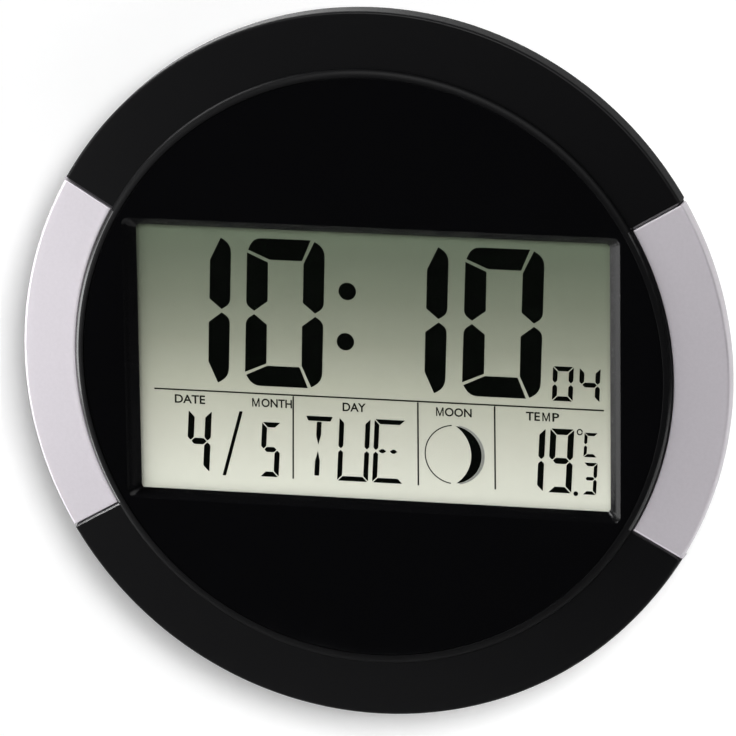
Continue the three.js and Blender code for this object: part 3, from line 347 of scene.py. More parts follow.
# The section is carried along the columns, and one flat face closes each end.
corners = np.arange(trim_columns * len(trim_section)).reshape(trim_columns, -1)
trim_faces = [*grid_faces(*corners.shape, False, True).tolist(), *corners[[0, -1]].tolist()]
for side, middle in (("right", 0), ("left", 180)):
    trim = new_piece(
        f"trim_{side}_silver", trim_places(middle), trim_faces, silver_paint, "silver_paint",
    )
    soften_edges(trim, 0.55)
    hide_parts(f"trim_{side}")


# Front panel: a disc of black acrylic, moulded with a mirror gloss. The walls of its window slope
# down to the display, and a frame behind it takes the tray that clamps the display.

panel_radius, panel_height, panel_back, land_height = 122.8, 33.0, 30.4, 28.7
window_half, window_radius = (100.2, 56.8), 1.7
mouth_half, mouth_radius, mouth_round = (105.2, 60.2), 3.0, 0.15
frame_half, frame_radius = (106.8, 61.8), 4.6
wall_half, wall_run, wall_fall, wall_bulge = (105.0, 60.06), (4.6, 3.1), 3.85, 0.4
wall_radius, wall_start = 2.9, 0.3
disc_round, disc_round_steps = 0.06, 6
corner_steps, side_steps = 10, 60


def window_loop(half, radius):
    """A rounded rectangle from the right side's middle round to it again: four quarter circles,
    with points on the straight sides at equal angles seen from the clock's middle."""
    corners = np.array([(1, 1), (-1, 1), (-1, -1), (1, -1)]) * (np.array(half) - radius)
    quarters = [arc(corner, radius, 90 * i, 90 * i + 90, corner_steps)
                for i, corner in enumerate(corners)]
    corner_angle = np.arctan2(mouth_half[1], mouth_half[0])
    loop = []
    for i, span in enumerate([np.pi / 2 - corner_angle, corner_angle] * 2):
        share = np.tan(np.linspace(-span, span, side_steps + 2)[1:-1]) / np.tan(span) / 2 + 0.5
        start, stop = quarters[i][-1], quarters[(i + 1) % 4][0]
        loop += [quarters[i], start + share[:, None] * (stop - start)]
    return np.vstack(loop)


mouth = window_loop(mouth_half, mouth_radius)
outward = mouth / np.linalg.norm(mouth, axis=1, keepdims=True)


def at_height(loop, height):
    """A loop of x and z placed at a height."""
    return np.column_stack([loop[:, 0], np.full(len(loop), -height), loop[:, 1]])


def grown(amount):
    """The window's mouth, moved outwards by an amount in mm."""
    half = (mouth_half[0] + amount, mouth_half[1] + amount)
    return window_loop(half, mouth_radius + amount)


# The walls bulge a little: their middle stands 0.4 mm higher than a straight slope's.
window_walls = []
for down in np.linspace(0, 1, 6):
    slope_half = [half - run * down for half, run in zip(wall_half, wall_run)]
    height = panel_height - wall_start - wall_fall * down + wall_bulge * 4 * down * (1 - down)
    window_walls.append(at_height(window_loop(slope_half, wall_radius - down), height))

panel_loops = [
    *(at_height(outward * radius, height) for radius, height in arc(
        (panel_radius - disc_round, panel_height - disc_round), disc_round,
        0, 90, disc_round_steps,
    )),
    at_height(grown(mouth_round), panel_height),
    at_height(grown(mouth_round * 0.45), panel_height - mouth_round * 0.12),
    at_height(grown(mouth_round * 0.1), panel_height - mouth_round * 0.45),
    *window_walls,
    at_height(window_loop(window_half, window_radius), land_height),
    at_height(window_loop(frame_half, frame_radius), land_height),
    at_height(window_loop(frame_half, frame_radius), panel_back),
    at_height(outward * panel_radius, panel_back),
]

# Polished mould: the mirror is true, with the faintest waviness of the moulded face.
gloss_acrylic = new_material(
    "gloss_black_acrylic", "#030304", 0.05, grain=(18.0, 0.004, 0.04, 0.07), IOR=1.49,
)
# The disc's edge and the window's walls are finely eroded, so that they don't mirror the display.
dull_acrylic = new_material(
    "eroded_black_acrylic", "#040405", 0.24, grain=(0.5, 0.003, 0.21, 0.28),
    Specular_IOR_Level=0.11,
)

panel = new_piece(
    "front_panel_gloss", np.vstack(panel_loops),
    grid_faces(len(panel_loops), len(mouth), True, True), gloss_acrylic, "gloss_black",
    smooth=25,
)
panel.data.materials.append(dull_acrylic)
disc_face = disc_round_steps - 1
wall_end = disc_face + 4 + len(window_walls)
finish = np.zeros((len(panel_loops), len(mouth)), np.int32)
finish[:disc_face] = finish[disc_face + 1:wall_end] = 1
panel.data.polygons.foreach_set("material_index", finish.ravel())
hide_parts("front_panel")


# Display window: a clear acrylic sheet behind the panel, and behind it the glass of the liquid
# crystal display. Light passes straight through them, and their faces mirror a little.

def bare_material(name):
    """A material without nodes, and its tree."""
    made = bpy.data.materials.new(name)
    made.use_nodes = True
    made.node_tree.nodes.clear()
    return made, made.node_tree


def clear_sheet(name, ior, roughness):
    """See-through material: on its outer faces Fresnel mixes a mirror over an unbent view through.
    Its inner faces only pass light, as an unbent ray would meet them too flat."""
    made, tree = bare_material(name)
    through = add_node(tree, "BsdfTransparent")
    mirror = add_node(tree, "BsdfGlossy", {"Roughness": roughness})
    edge_light = add_node(tree, "Fresnel", {"IOR": ior})
    side = add_node(tree, "NewGeometry")
    outer = add_node(tree, "Math", {0: 1.0, 1: side.outputs["Backfacing"]}, operation="SUBTRACT")
    share = add_node(tree, "Math", {0: edge_light, 1: outer}, operation="MULTIPLY")
    mixed = add_node(tree, "MixShader", {0: share, 1: through, 2: mirror})
    add_node(tree, "OutputMaterial", {"Surface": mixed})
    return made


def dress(material, *names):
    """Gives CAD nodes a material in all their slots."""
    for name in names:
        for slot in nodes[name].material_slots:
            slot.material = material


acrylic = clear_sheet("clear_acrylic_sheet", 1.49, 0.03)
# The glass carries a coated polariser, which mirrors about a third of what bare glass does.
display_glass = clear_sheet("coated_display_glass", 1.25, 0.05)
dress(acrylic, "display_lens")
dress(display_glass, "lcd_front_glass")


# Liquid crystal display: two glass sheets with a polariser on each side and a reflector behind.
# Its unlit ground is a grey green with painted shade: darker at the top and paler at the bottom, as
# less of the room's light reaches its top.

polariser = new_material("polariser_with_painted_shade", "#a9ae9c", 0.5, Specular_IOR_Level=0.0)
tree, shader, place = open_material(polariser)
tallness = add_node(tree, "SeparateXYZ", {"Vector": place})
level = add_node(tree, "MapRange", {
    "Value": tallness.outputs["Z"], "From Min": -window_half[1] / 1000,
    "From Max": window_half[1] / 1000,
})
# Painted shade: the ground's colour runs from pale at the bottom to dark at the top.
painted_shade_ground = add_node(tree, "ValToRGB", {"Fac": level})
shades = [(0.0, "#e1e3d5"), (0.2, "#c9cabc"), (0.4, "#aeb0a0"), (0.58, "#8d9181"),
          (0.75, "#757b6b"), (0.9, "#676f5f"), (1.0, "#636d5c")]
ramp = painted_shade_ground.color_ramp.elements
while len(ramp) < len(shades):
    ramp.new(0.5)
for element, (position, shade) in zip(ramp, shades):
    element.position = position
    element.color = linear(shade)
# The reflector's brushed film gives the ground a soft speckle of about 1 mm.
speckle = add_node(tree, "TexNoise", {"Vector": place, "Scale": 900.0, "Detail": 2.0})
speckle_level = add_node(tree, "MapRange", {"Value": speckle, "To Min": 0.97, "To Max": 1.03})
speckled = add_node(
    tree, "Mix", {0: 1.0, 6: painted_shade_ground, 7: speckle_level}, data_type="RGBA", blend_type="MULTIPLY",
)
set_inputs(shader, {"Base Color": speckled.outputs[2]})
dress(polariser, "lcd_rear_glass")


# Display segments: the etched electrodes that darken the liquid crystal. They are shown as very
# thin flat bodies between the two glasses, one for each lit segment, line and dot.

segment_low, segment_high = 26.12, 26.18


def rounded(corners, steps=5):
    """Outline through corners of x, z and cut, which is 0.3 mm if left out: at each corner a
    quadratic curve leaves one side the cut before it and meets the next side the cut after it."""
    corners = np.array([(*corner, 0.3)[:3] for corner in corners])
    point, cut = corners[:, :2], corners[:, 2:]
    back, ahead = np.roll(point, 1, 0) - point, np.roll(point, -1, 0) - point
    start = point + cut * back / np.linalg.norm(back, axis=1, keepdims=True)
    stop = point + cut * ahead / np.linalg.norm(ahead, axis=1, keepdims=True)
    t = np.linspace(0, 1, steps)[:, None, None]
    curve = (1 - t) ** 2 * start + 2 * t * (1 - t) * point + t ** 2 * stop
    return curve.transpose(1, 0, 2).reshape(-1, 2)


def leaned(outline, lean, centre):
    """An outline leaned to the right by an angle in degrees, then moved to its centre."""
    x, z = outline.T
    return np.column_stack([x + z * np.tan(np.radians(lean)) + centre[0], z + centre[1]])


def together(shapes):
    """Places and faces of several shapes as those of one."""
    starts = np.cumsum([0, *(len(places) for places, _ in shapes)])
    faces = [tuple(int(i) + start for i in face)
             for start, (_, own) in zip(starts, shapes) for face in own]
    return np.vstack([places for places, _ in shapes]), faces


def thin_bodies(outlines, low=segment_low, high=segment_high):
    """Closed flat bodies: each outline at two heights, joined by a band, with a face over both."""
    bodies = []
    for outline in outlines:
        count = len(outline)
        band = grid_faces(2, count, False, True)
        lids = np.array([np.arange(count)[::-1], np.arange(count) + count])
        if np.cross(*(np.roll(outline, -1, 0) - outline)[:2]) < 0:
            band, lids = band[:, ::-1], lids[:, ::-1]
        places = np.vstack([at_height(outline, low), at_height(outline, high)])
        bodies.append((places, [*band.tolist(), *lids.tolist()]))
    return together(bodies)


# Large digits, 63 mm tall: corners of each segment from the digit's middle.
large = {
    "top": [(-16.3, 26.7), (-14.2, 31.8, 3.6), (10.3, 31.8, 0.2), (6.8, 22.8), (-6.9, 22.8)],
    "upper_left": [(-16.7, 25.5), (-16.6, 3.1, 2.2), (-13.1, 0.7), (-7.5, 5.0), (-7.7, 21.6)],
    "upper_right": [(11.9, 31.2), (7.5, 21.6), (7.6, 5.0), (12.9, 0.7), (16.5, 3.1, 2.2),
                    (16.4, 28.6, 3.8)],
    "lower_left": [(-13.1, -0.7), (-16.6, -3.1, 2.2), (-16.5, -25.7), (-7.4, -21.7),
                   (-7.6, -5.0)],
    "lower_right": [(13.0, -0.7), (7.5, -5.0), (7.7, -22.0), (12.0, -31.0), (16.6, -28.4, 3.8),
                    (16.5, -3.1, 2.2)],
    "bottom": [(-7.0, -22.6), (-16.0, -26.9), (-13.2, -31.4, 3.6), (10.6, -31.4, 0.2),
               (6.8, -22.6)],
}


def small(half, stroke, gap=0.45):
    """Segments of a small digit from its half width and half height. Corners are mitred, the
    upright bars are pointed at the digit's middle, and the gap parts them."""
    a, b = half
    g, s, r = gap * 0.7, stroke, 0.18 * stroke
    right = np.array([(a, b - g, r), (a, s / 2 + g, r), (a - s / 2, g, r), (a - s, s / 2 + g, r),
                      (a - s, b - s - g, r)])
    top = np.array([(-a + g, b, r), (a - g, b, r), (a - s - g, b - s, r), (-a + s + g, b - s, r)])
    middle = [(-a + s / 2 + g, 0, r), (-a + s + g, s / 2, r), (a - s - g, s / 2, r),
              (a - s / 2 - g, 0, r), (a - s - g, -s / 2, r), (-a + s + g, -s / 2, r)]
    cut = -0.04 * a
    dash = np.array([
        (-a + s + g * 0.4, 0, r), (-a + s * 1.5 + g, s / 2.3, r), (cut - s, s / 2.3, r),
        (cut - s * 0.4, 0, r), (cut - s, -s / 2.3, r), (-a + s * 1.5 + g, -s / 2.3, r),
    ])
    return {
        "top": top, "middle": middle, "bottom": top * (1, -1, 1),
        "upper_right": right, "lower_right": right * (1, -1, 1),
        "upper_left": right * (-1, 1, 1), "lower_left": right * (-1, -1, 1),
        "left_dash": dash, "right_dash": dash + (a * 0.72, 0, 0),
        "crossbar": [(-a * 0.86, b, r), (a * 0.86, b, r), (a * 0.72, b - s, r),
                     (-a * 0.72, b - s, r)],
        "upper_stem": [(-s / 2, b - s - g, r), (s / 2, b - s - g, r), (s / 2, b * 0.4, r),
                       (0, b * 0.1, 0.1 * s), (-s / 2, b * 0.4, r)],
        "lower_stem": [(-s / 2, -b + s * 0.8, r), (s / 2, -b + s * 0.8, r), (s / 2, -b * 0.42, r),
                       (0, -b * 0.1, 0.1 * s), (-s / 2, -b * 0.42, r)],
    }


# The segments that each sign lights.
lit = {
    "0": "top upper_left upper_right lower_left lower_right bottom",
    "1": "upper_right lower_right",
    "3": "top upper_right middle lower_right bottom",
    "4": "upper_left middle upper_right lower_right",
    "5": "top upper_left middle lower_right bottom",
    "9": "top upper_left upper_right middle lower_right bottom",
    "C": "top upper_left lower_left bottom",
    "T": "crossbar upper_stem lower_stem",
    "U": "upper_left upper_right lower_left lower_right bottom",
    "E": "top upper_left lower_left bottom left_dash right_dash",
}


def character(sign, segments, lean, centre):
    """Outlines of the segments that a sign lights."""
    return [leaned(rounded(segments[name]), lean, centre) for name in lit[sign].split()]


def disc(centre, radius, count=40):
    """Outline of a round dot."""
    return arc(centre, radius, 0, 360 * (1 - 1 / count), count)


seconds = small((4.35, 7.35), 2.0)
date = small((5.0, 13.4), 2.7)
month = small((4.05, 11.8), 2.2)
weekday = small((6.6, 13.65), 2.05)
degrees = small((5.0, 13.7), 2.55)
unit = small((2.85, 5.2), 1.35, 0.3)
tenths = small((2.9, 6.85), 1.5, 0.35)
moon = (33.9, -36.4)

# Each sign with its segments, its lean in degrees and its centre.
signs = [
    ("1", large, 2.3, (-77.7, 20.5)), ("0", large, 2.3, (-37.7, 20.4)),
    ("1", large, 2.3, (14.7, 20.5)), ("0", large, 2.3, (54.9, 20.5)),
    ("0", seconds, 2.3, (79.8, -3.8)), ("4", seconds, 2.3, (91.0, -3.8)),
    ("4", date, 3.6, (-75.7, -36.2)), ("5", month, 3.6, (-44.9, -38.3)),
    ("T", weekday, 3.6, (-24.4, -36.5)), ("U", weekday, 3.2, (-9.1, -36.5)),
    ("E", weekday, 3.2, (5.9, -36.5)), ("1", degrees, 3.0, (66.8, -36.7)),
    ("9", degrees, 3.0, (78.8, -36.7)), ("C", unit, 3.0, (91.4, -29.3)),
    ("3", tenths, 3.0, (91.0, -43.7)),
]
# The colon, the stroke between month and day, the decimal point and the moon follow the signs.
dark_segments = [
    *(outline for sign in signs for outline in character(*sign)),
    disc((-10.9, 31.2), 3.7), disc((-12.0, 9.7), 3.7),
    rounded([(-58.0, -22.4), (-56.5, -22.4), (-64.3, -50.5), (-65.8, -50.5)]),
    disc((85.0, -50.4), 1.0),
    np.vstack([
        arc((moon[0] - 1.0, moon[1]), (12.5, 12.4), -80, 80, 40),
        arc((moon[0] - 7.65, moon[1]), (14.7, 14.8), 55.5, -55.5, 40),
    ]),
]

# Liquid crystal between crossed polarisers: nearly black, with a trace of green and of unevenness.
etched = new_material(
    "dark_liquid_crystal", "#020302", 0.5, ("#020402", "#040604", 6.0), Specular_IOR_Level=0.0,
)
new_piece("display_segments", *thin_bodies(dark_segments), etched, "display_glass")

thin_lines = [
    rounded([(-94.6, -14.0, 0.1), (97.0, -14.0, 0.1), (97.0, -14.65, 0.1), (-94.6, -14.65, 0.1)]),
    *(leaned(rounded([(-0.32, 17.8, 0.1), (0.32, 17.8, 0.1), (0.32, -17.8, 0.1),
                      (-0.32, -17.8, 0.1)]), lean, (x, -32.6))
      for x, lean in ((-35.0, 1.0), (18.4, 0.3), (51.0, 0.0))),
    np.vstack([arc(moon, 12.75, 95, 262, 60), arc(moon, 12.3, 262, 95, 60)]),
    np.vstack([arc((86.8, -24.0), (1.3, 1.4), 0, 350, 30),
               arc((86.8, -24.0), (0.75, 0.85), 350, 0, 30)]),
]
# Fine lines and captions: a matt, dark grey green, a little paler than the segments.
printed = new_material(
    "fine_printed_lines", "#1a1d18", 0.5, ("#151813", "#20231d", 3.0), Specular_IOR_Level=0.0,
)
new_piece("display_lines", *thin_bodies(thin_lines), printed, "display_glass")

# A thin grey band that hugs the dark crescent's outer edge, on its right.
grey_shade = new_material(
    "grey_crescent_band", "#8b8d88", 0.5, ("#858782", "#92948f", 2.0), Specular_IOR_Level=0.0,
)
shade_outline = np.vstack([
    arc(moon, 12.75, -80, 80, 40),
    arc((moon[0] - 0.95, moon[1]), (12.55, 12.5), 79, -79, 40),
])
new_piece("display_moon_shade", *thin_bodies([shade_outline]), grey_shade, "display_glass")


def caption(text, x0, x1, z0, z1, low=segment_low, high=segment_high):
    """A word in Blender's own sans serif, made a mesh, then fitted between two x, two z and two
    heights."""
    curve = bpy.data.curves.new("caption", "FONT")
    curve.body = text
    curve.resolution_u = 4
    curve.offset = 0.02
    curve.extrude = 0.01
    made = scene_object("caption", curve)
    bpy.context.view_layer.update()
    graph = bpy.context.evaluated_depsgraph_get()
    mesh = bpy.data.meshes.new_from_object(made.evaluated_get(graph))
    bpy.data.objects.remove(made)
    drawn = np.array([vertex.co for vertex in mesh.vertices])
    share = (drawn - drawn.min(0)) / (drawn.max(0) - drawn.min(0))
    places = np.column_stack([
        x0 + share[:, 0] * (x1 - x0),
        -(low + share[:, 2] * (high - low)),
        z0 + share[:, 1] * (z1 - z0),
    ])
    faces = [tuple(polygon.vertices) for polygon in mesh.polygons]
    bpy.data.meshes.remove(mesh)
    return places, faces


# The font's M closes up when it is made bolder, so it is drawn here.
def bold_m(x0, x1, z0, z1, stroke=0.5):
    """Outline of an M between two x and two z: uprights, with a V that meets at its foot."""
    middle, slant = (x0 + x1) / 2, stroke * 1.15
    return np.array([
        (x0, z0), (x0, z1), (x0 + slant, z1), (middle, z0 + 0.9), (x1 - slant, z1), (x1, z1),
        (x1, z0), (x1 - stroke, z0), (x1 - stroke, z1 - 1.1), (middle + stroke * 0.4, z0),
        (middle - stroke * 0.4, z0), (x0 + stroke, z1 - 1.1), (x0 + stroke, z0),
    ])


caption_foot, caption_head, m_width = -20.1, -16.4, 3.2
words = [("DATE", -85.8, -72.7), ("ONTH", -48.4, -35.3), ("DAY", -13.6, -3.7),
         ("OON", 29.9, 41.3), ("TE", 64.2, 70.1), ("P", 75.3, 78.2)]
new_piece("display_captions", *together([
    *(caption(text, x0, x1, caption_foot, caption_head) for text, x0, x1 in words),
    thin_bodies([bold_m(x0, x0 + m_width, caption_foot, caption_head)
                 for x0 in (-52.4, 26.2, 71.1)]),
]), printed, "display_glass")


# Inside: the display's reflector and contact strip, the boards with their parts, the antenna, the
# leads and contacts. Screws, solder or clips hold them. They are seen once the clock is apart.

# Aluminium on a clear film: a soft, pale sheen.
film = new_material(
    "aluminised_reflector_film", "#c9cbbd", 0.5, grain=(0.4, 0.002, 0.45, 0.6), Metallic=0.3,
)
dress(film, "lcd_reflector")

# Layers of black conducting and pale insulating rubber, 0.8 mm apart: matt stripes.
zebra = new_material("layered_contact_rubber", "#3c3d40", 0.8)
tree, shader, place = open_material(zebra)
stripes = add_node(tree, "TexWave", {"Vector": place, "Scale": 1000 / 0.8 / 3.14})
layers = add_node(tree, "Mix", {
    0: stripes.outputs["Fac"], 6: linear("#262628"), 7: linear("#b9b7b0"),
}, data_type="RGBA")
set_inputs(shader, {"Base Color": layers.outputs[2]})
dress(zebra, "zebra_connector")

# Copper tracks show pale through a glossy green mask. They are drawn as a plain mesh of 12 mm,
# coarser than the real ones.
solder_mask = new_material("green_solder_mask", "#1f5a38", 0.4, IOR=1.5)
tree, shader, place = open_material(solder_mask)
turned_place = add_node(tree, "Mapping", {"Vector": place, "Rotation": (np.pi / 2, 0, 0)})
tracks = add_node(tree, "TexBrick", {
    "Vector": turned_place, "Scale": 1000 / 12, "Mortar Size": 0.045,
    "Mortar Smooth": 0.2, "Color1": linear("#1d5534"), "Color2": linear("#225f3c"),
    "Mortar": linear("#3f8a56"),
})
set_inputs(shader, {"Base Color": tracks})
dress(solder_mask, "main_board", "key_board")

# Moulded or cast epoxy: black, with a soft gloss.
resin = new_material(
    "black_epoxy_resin", "#0d0d0e", 0.3, grain=(0.6, 0.004, 0.25, 0.4), IOR=1.55,
)
dress(resin, "driver_chip", "receiver_chip", "temperature_sensor",
      *(name for name in nodes if name.endswith("_switch")))
# Pressed and fired iron oxide: a dull, grainy brown black.
ferrite = new_material("sintered_ferrite", "#2a2826", 0.65, grain=(0.3, 0.01, 0.55, 0.75))
dress(ferrite, "antenna_rod")

# Enamel over copper has a warm metal gloss, and the ribbon's grey PVC is dull. The winding and
# the ribbon's wires are drawn as waves 3 and 8 mm apart, coarser than the real 0.5 and 1.27 mm.
copper = new_material("enamelled_copper_wire", "#a2602f", 0.3, Metallic=0.85)
grey_pvc = new_material("grey_ribbon_insulation", "#8d9094", 0.5)
for material, node, wave_scale, depth in ((copper, "antenna_coil", 100.0, 0.1),
                                          (grey_pvc, "key_ribbon", 1000 / 1.27 / 20, 0.3)):
    tree, shader, place = open_material(material)
    turns = add_node(tree, "TexWave", {"Vector": place, "Scale": wave_scale})
    raised = add_node(tree, "Bump", {"Height": turns.outputs["Fac"], "Distance": depth / 1000})
    set_inputs(shader, {"Normal": raised})
    dress(material, node)

# Extruded soft PVC: a low, even gloss.
red_pvc = new_material("red_pvc_insulation", "#a3201c", 0.45, grain=(0.5, 0.003, 0.4, 0.5))
dress(red_pvc, "battery_lead_red")
black_pvc = new_material("black_pvc_insulation", "#151516", 0.45, grain=(0.5, 0.003, 0.4, 0.5))
dress(black_pvc, "battery_lead_black", "antenna_lead")
# Plated sheet and wire: a bright, slightly warm metal, a little uneven.
nickel = new_material(
    "nickel_plated_steel", "#b9b6ac", 0.3, grain=(0.7, 0.001, 0.22, 0.36), Metallic=1.0,
)
dress(nickel, "quartz_can", "contact_bridge", "contact_positive", "contact_negative")
# Unpainted acetal: a milky white with a waxy gloss.
white_acetal = new_material("white_acetal", "#d8d6cf", 0.45, grain=(0.8, 0.002, 0.4, 0.5))
dress(white_acetal, *(name for name in nodes if name.endswith("_plunger")))


# Rear cover: a black ABS moulding, eroded more coarsely than the ring, that six screws hold to the
# ring. It has the battery bay, the hanging slot, the keys' field with printed names, and vents.

# Coarse eroded grain, and the faint cloudiness of moulded black plastic.
textured_abs = new_material(
    "textured_black_abs", "#1c1c1e", 0.55, ("#1a1a1c", "#1f1f21", 9.0), (0.8, 0.03, 0.48, 0.62),
    IOR=1.53,
)
dress(textured_abs, "display_tray")


def textured_copy(node, body, edge_width):
    """A piece with a CAD node's shape: its loose triangles are merged, each flat face is made one,
    and a bevel of that width in mm rounds its sharp edges."""
    shape = bmesh.new()
    shape.from_mesh(nodes[node].data)
    bmesh.ops.remove_doubles(shape, verts=shape.verts, dist=1e-6)
    bmesh.ops.dissolve_limit(
        shape, angle_limit=np.radians(0.3), verts=shape.verts, edges=shape.edges,
    )
    for face in shape.faces:
        face.smooth = True
        face.material_index = 0
    mesh = bpy.data.meshes.new(f"{node}_textured")
    shape.to_mesh(mesh)
    shape.free()
    mesh.set_sharp_from_angle(angle=np.radians(35))
    piece = scene_object(f"{node}_textured", mesh)
    mesh.materials.append(textured_abs)
    soften_edges(piece, edge_width, segments=2, angle=40)
    shading = piece.modifiers.new("flat_faces_stay_flat", "WEIGHTED_NORMAL")
    shading.keep_sharp = True
    shading.weight = 100
    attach(piece, body)
    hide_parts(node)


textured_copy("rear_cover", "case", 0.3)

# Each key's x, its printed name, and that name's width, foot and head.
keys = {
    "set_key": (-48.0, "SET", 6.6, 40.2, 42.5), "plus_key": (-24.0, "+", 2.4, 40.2, 42.5),
    "minus_key": (0.0, "-", 2.4, 41.15, 41.65), "wave_key": (24.0, "WAVE", 9.4, 40.2, 42.5),
    "unit_key": (48.0, "\u00b0C/\u00b0F", 9.0, 40.2, 42.5),
}
key_row, field_height = 34.0, 1.8
ink_thickness, ink_sunk = 0.03, 0.05
# Pad-printed ink: pale, matt, and a little uneven where the pad left less of it.
ink = new_material("pad_printed_ink", "#b4b6b8", 0.6, ("#acaeb0", "#bbbdbf", 1.5))
new_piece("rear_cover_key_names", *together([
    caption(text, x + wide / 2, x - wide / 2, foot, head,
            field_height - ink_thickness, field_height + ink_sunk)
    for x, text, wide, foot, head in keys.values()
]), ink, "dark_plastic")


# Battery door: a plate of the same plastic with grips for a fingertip, and a printed arrow that
# shows which way it slides out of its rails.

door_height = 0.2
textured_copy("battery_door", "battery_door", 0.2)
arrow_outline = rounded([(-4.2, -83.0, 0.4), (4.2, -83.0, 0.4), (0.0, -88.2, 0.4)])
new_piece(
    "battery_door_arrow",
    *thin_bodies([arrow_outline], door_height - ink_thickness, door_height + ink_sunk), ink,
    "dark_plastic", "battery_door",
)


# Keys: grey ABS caps with a shallow dish for the fingertip and a groove round it. A flange keeps
# each in its hole, and its stem presses the plunger of the switch behind it.

dish_radius, dish_height, dish_depth = 3.7, 0.75, 0.2
key_radius, key_rim, rim_height, key_shoulder = 4.6, 0.7, 1.2, 4.3
flange_radius, flange_end, stem_radius, stem_end = 5.85, 5.4, 2.2, 7.0
dish = np.linspace(0.4, dish_radius, 9)
key_profile = np.vstack([
    [(0.0, dish_height)],
    np.column_stack([dish, dish_height - dish_depth * (dish / dish_radius) ** 2]),
    arc((key_radius - key_rim, rim_height), key_rim, 100, 0, 8),
    [(key_radius, key_shoulder), (flange_radius, key_shoulder), (flange_radius, flange_end)],
    [(stem_radius, flange_end), (stem_radius, stem_end), (0.0, stem_end)],
])


def tube_faces(rows, count):
    """Faces of a tube of rows x count points, with a fan over each end. The middle points of the
    first and the last fan come after the tube's points."""
    here = np.arange(count)
    beside = (here + 1) % count
    first, last = rows * count, (rows - 1) * count
    near = np.column_stack([np.full(count, first), here, beside])
    far = np.column_stack([np.full(count, first + 1), last + beside, last + here])
    return [*near.tolist(), *grid_faces(rows, count, False, True).tolist(), *far.tolist()]


def lathe(profile, centre, axis="y", count=64):
    """A closed shape from a profile of radius and height turned round an axis: y for pieces that
    face the wall, as turned says, or x for the cells, where the height runs along x."""
    radius, height = profile[:, 0][:, None], profile[:, 1][:, None]
    turn = np.linspace(0, 2 * np.pi, count, endpoint=False)
    places = turned(radius, height, turn)
    if axis == "x":
        places = places[:, [1, 0, 2]] * (-1, 1, 1)
    places = places + centre
    places = np.vstack([places[count:-count], places[0], places[-1]])
    return places, tube_faces(len(profile) - 2, count)


# Eroded like the cover, but finer: a matt grey that fingers have not yet polished.
key_abs = new_material(
    "grey_key_abs", "#5a5b5e", 0.5, ("#57585b", "#5e5f62", 3.0), (0.6, 0.01, 0.42, 0.56),
)
for name, (x, *_) in keys.items():
    cap = new_piece(
        f"{name}_cap", *lathe(key_profile, (x, 0, key_row)), key_abs, "key_plastic", name,
    )
    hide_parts(name)


# Cells: two AA cells in a printed plastic sleeve that is shrunk over their ends, with
# nickel-plated steel showing at both ends. They lie with their ends turned opposite ways.

# Printed and shrunk film: a dark blue gloss with a pale band towards each end.
sleeve = new_material("printed_cell_sleeve", "#24303d", 0.3, Coat_Weight=0.3)
tree, shader, place = open_material(sleeve)
band_middle, band_half = 0.016, 0.0011
along = add_node(tree, "SeparateXYZ", {"Vector": place})
distance = add_node(tree, "Math", {0: along.outputs["X"]}, operation="ABSOLUTE")
printed_band = add_node(
    tree, "Math", {0: distance, 1: band_middle, 2: band_half}, operation="COMPARE",
)
smudge = add_node(tree, "TexNoise", {"Vector": place, "Scale": 300.0})
shades = add_node(tree, "Mix", {
    "Factor": smudge, 6: linear("#212d3a"), 7: linear("#283543"),
}, data_type="RGBA")
banded = add_node(tree, "Mix", {
    "Factor": printed_band, 6: shades.outputs[2], 7: linear("#a9adb0"),
}, data_type="RGBA")
set_inputs(shader, {"Base Color": banded.outputs[2]})

cell_length, cell_radius, cell_height, cell_offset = 50.5, 7.25, 9.75, 2.9
cell_round, pole_radius, pole_round, pole_height = 0.8, 2.7, 0.4, 1.3
rim_radius, rim_step, base_radius, base_hollow = 5.9, 0.25, 5.2, 0.3
cell_start, cell_body = -cell_length / 2, cell_length / 2 - pole_height
cell_profile = np.vstack([
    [(0.0, cell_start + base_hollow), (base_radius, cell_start + base_hollow)],
    arc((cell_radius - cell_round, cell_start + cell_round), cell_round, -90, 0, 6),
    arc((cell_radius - cell_round, cell_body - cell_round), cell_round, 0, 90, 6),
    [(rim_radius, cell_body), (rim_radius - 0.1, cell_body - rim_step)],
    [(pole_radius + 0.05, cell_body - rim_step)],
    arc((pole_radius - pole_round, cell_length / 2 - pole_round), pole_round, 0, 90, 5),
    [(0.0, cell_length / 2)],
])
# Bands of bare metal between the profile's points: the base, and the rim with its pole.
bands = len(cell_profile) - 1
metal_bands = (0, 1, *range(13, bands))
for name, z, ahead in (("cell_upper", -83.45, 1), ("cell_lower", -98.55, -1)):
    centre = (cell_offset * ahead, -cell_height, z)
    cell = new_piece(
        f"{name}_sleeved", *lathe(cell_profile * (1, ahead), centre, "x"), sleeve, "cell_jacket",
    )
    cell.data.materials.append(nickel)
    finish = np.repeat(np.isin(np.arange(bands), metal_bands).astype(np.int32), 64)
    cell.data.polygons.foreach_set("material_index", finish)
    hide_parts(name)


# Screws: zinc-plated, thread-forming steel screws with a domed head and a cross recess. They are
# driven into moulded posts from behind, and those of the key board from the front.

head_radius, head_height, head_fall = 2.6, 1.7, 0.45
recess_depth, recess_half, recess_reach, arm_slope, end_slope = 1.0, 0.5, 1.55, 0.15, 0.6
thread_radius, thread_depth, thread_pitch, thread_end, tip_radius = 1.0, 0.3, 1.0, 1.0, 0.15


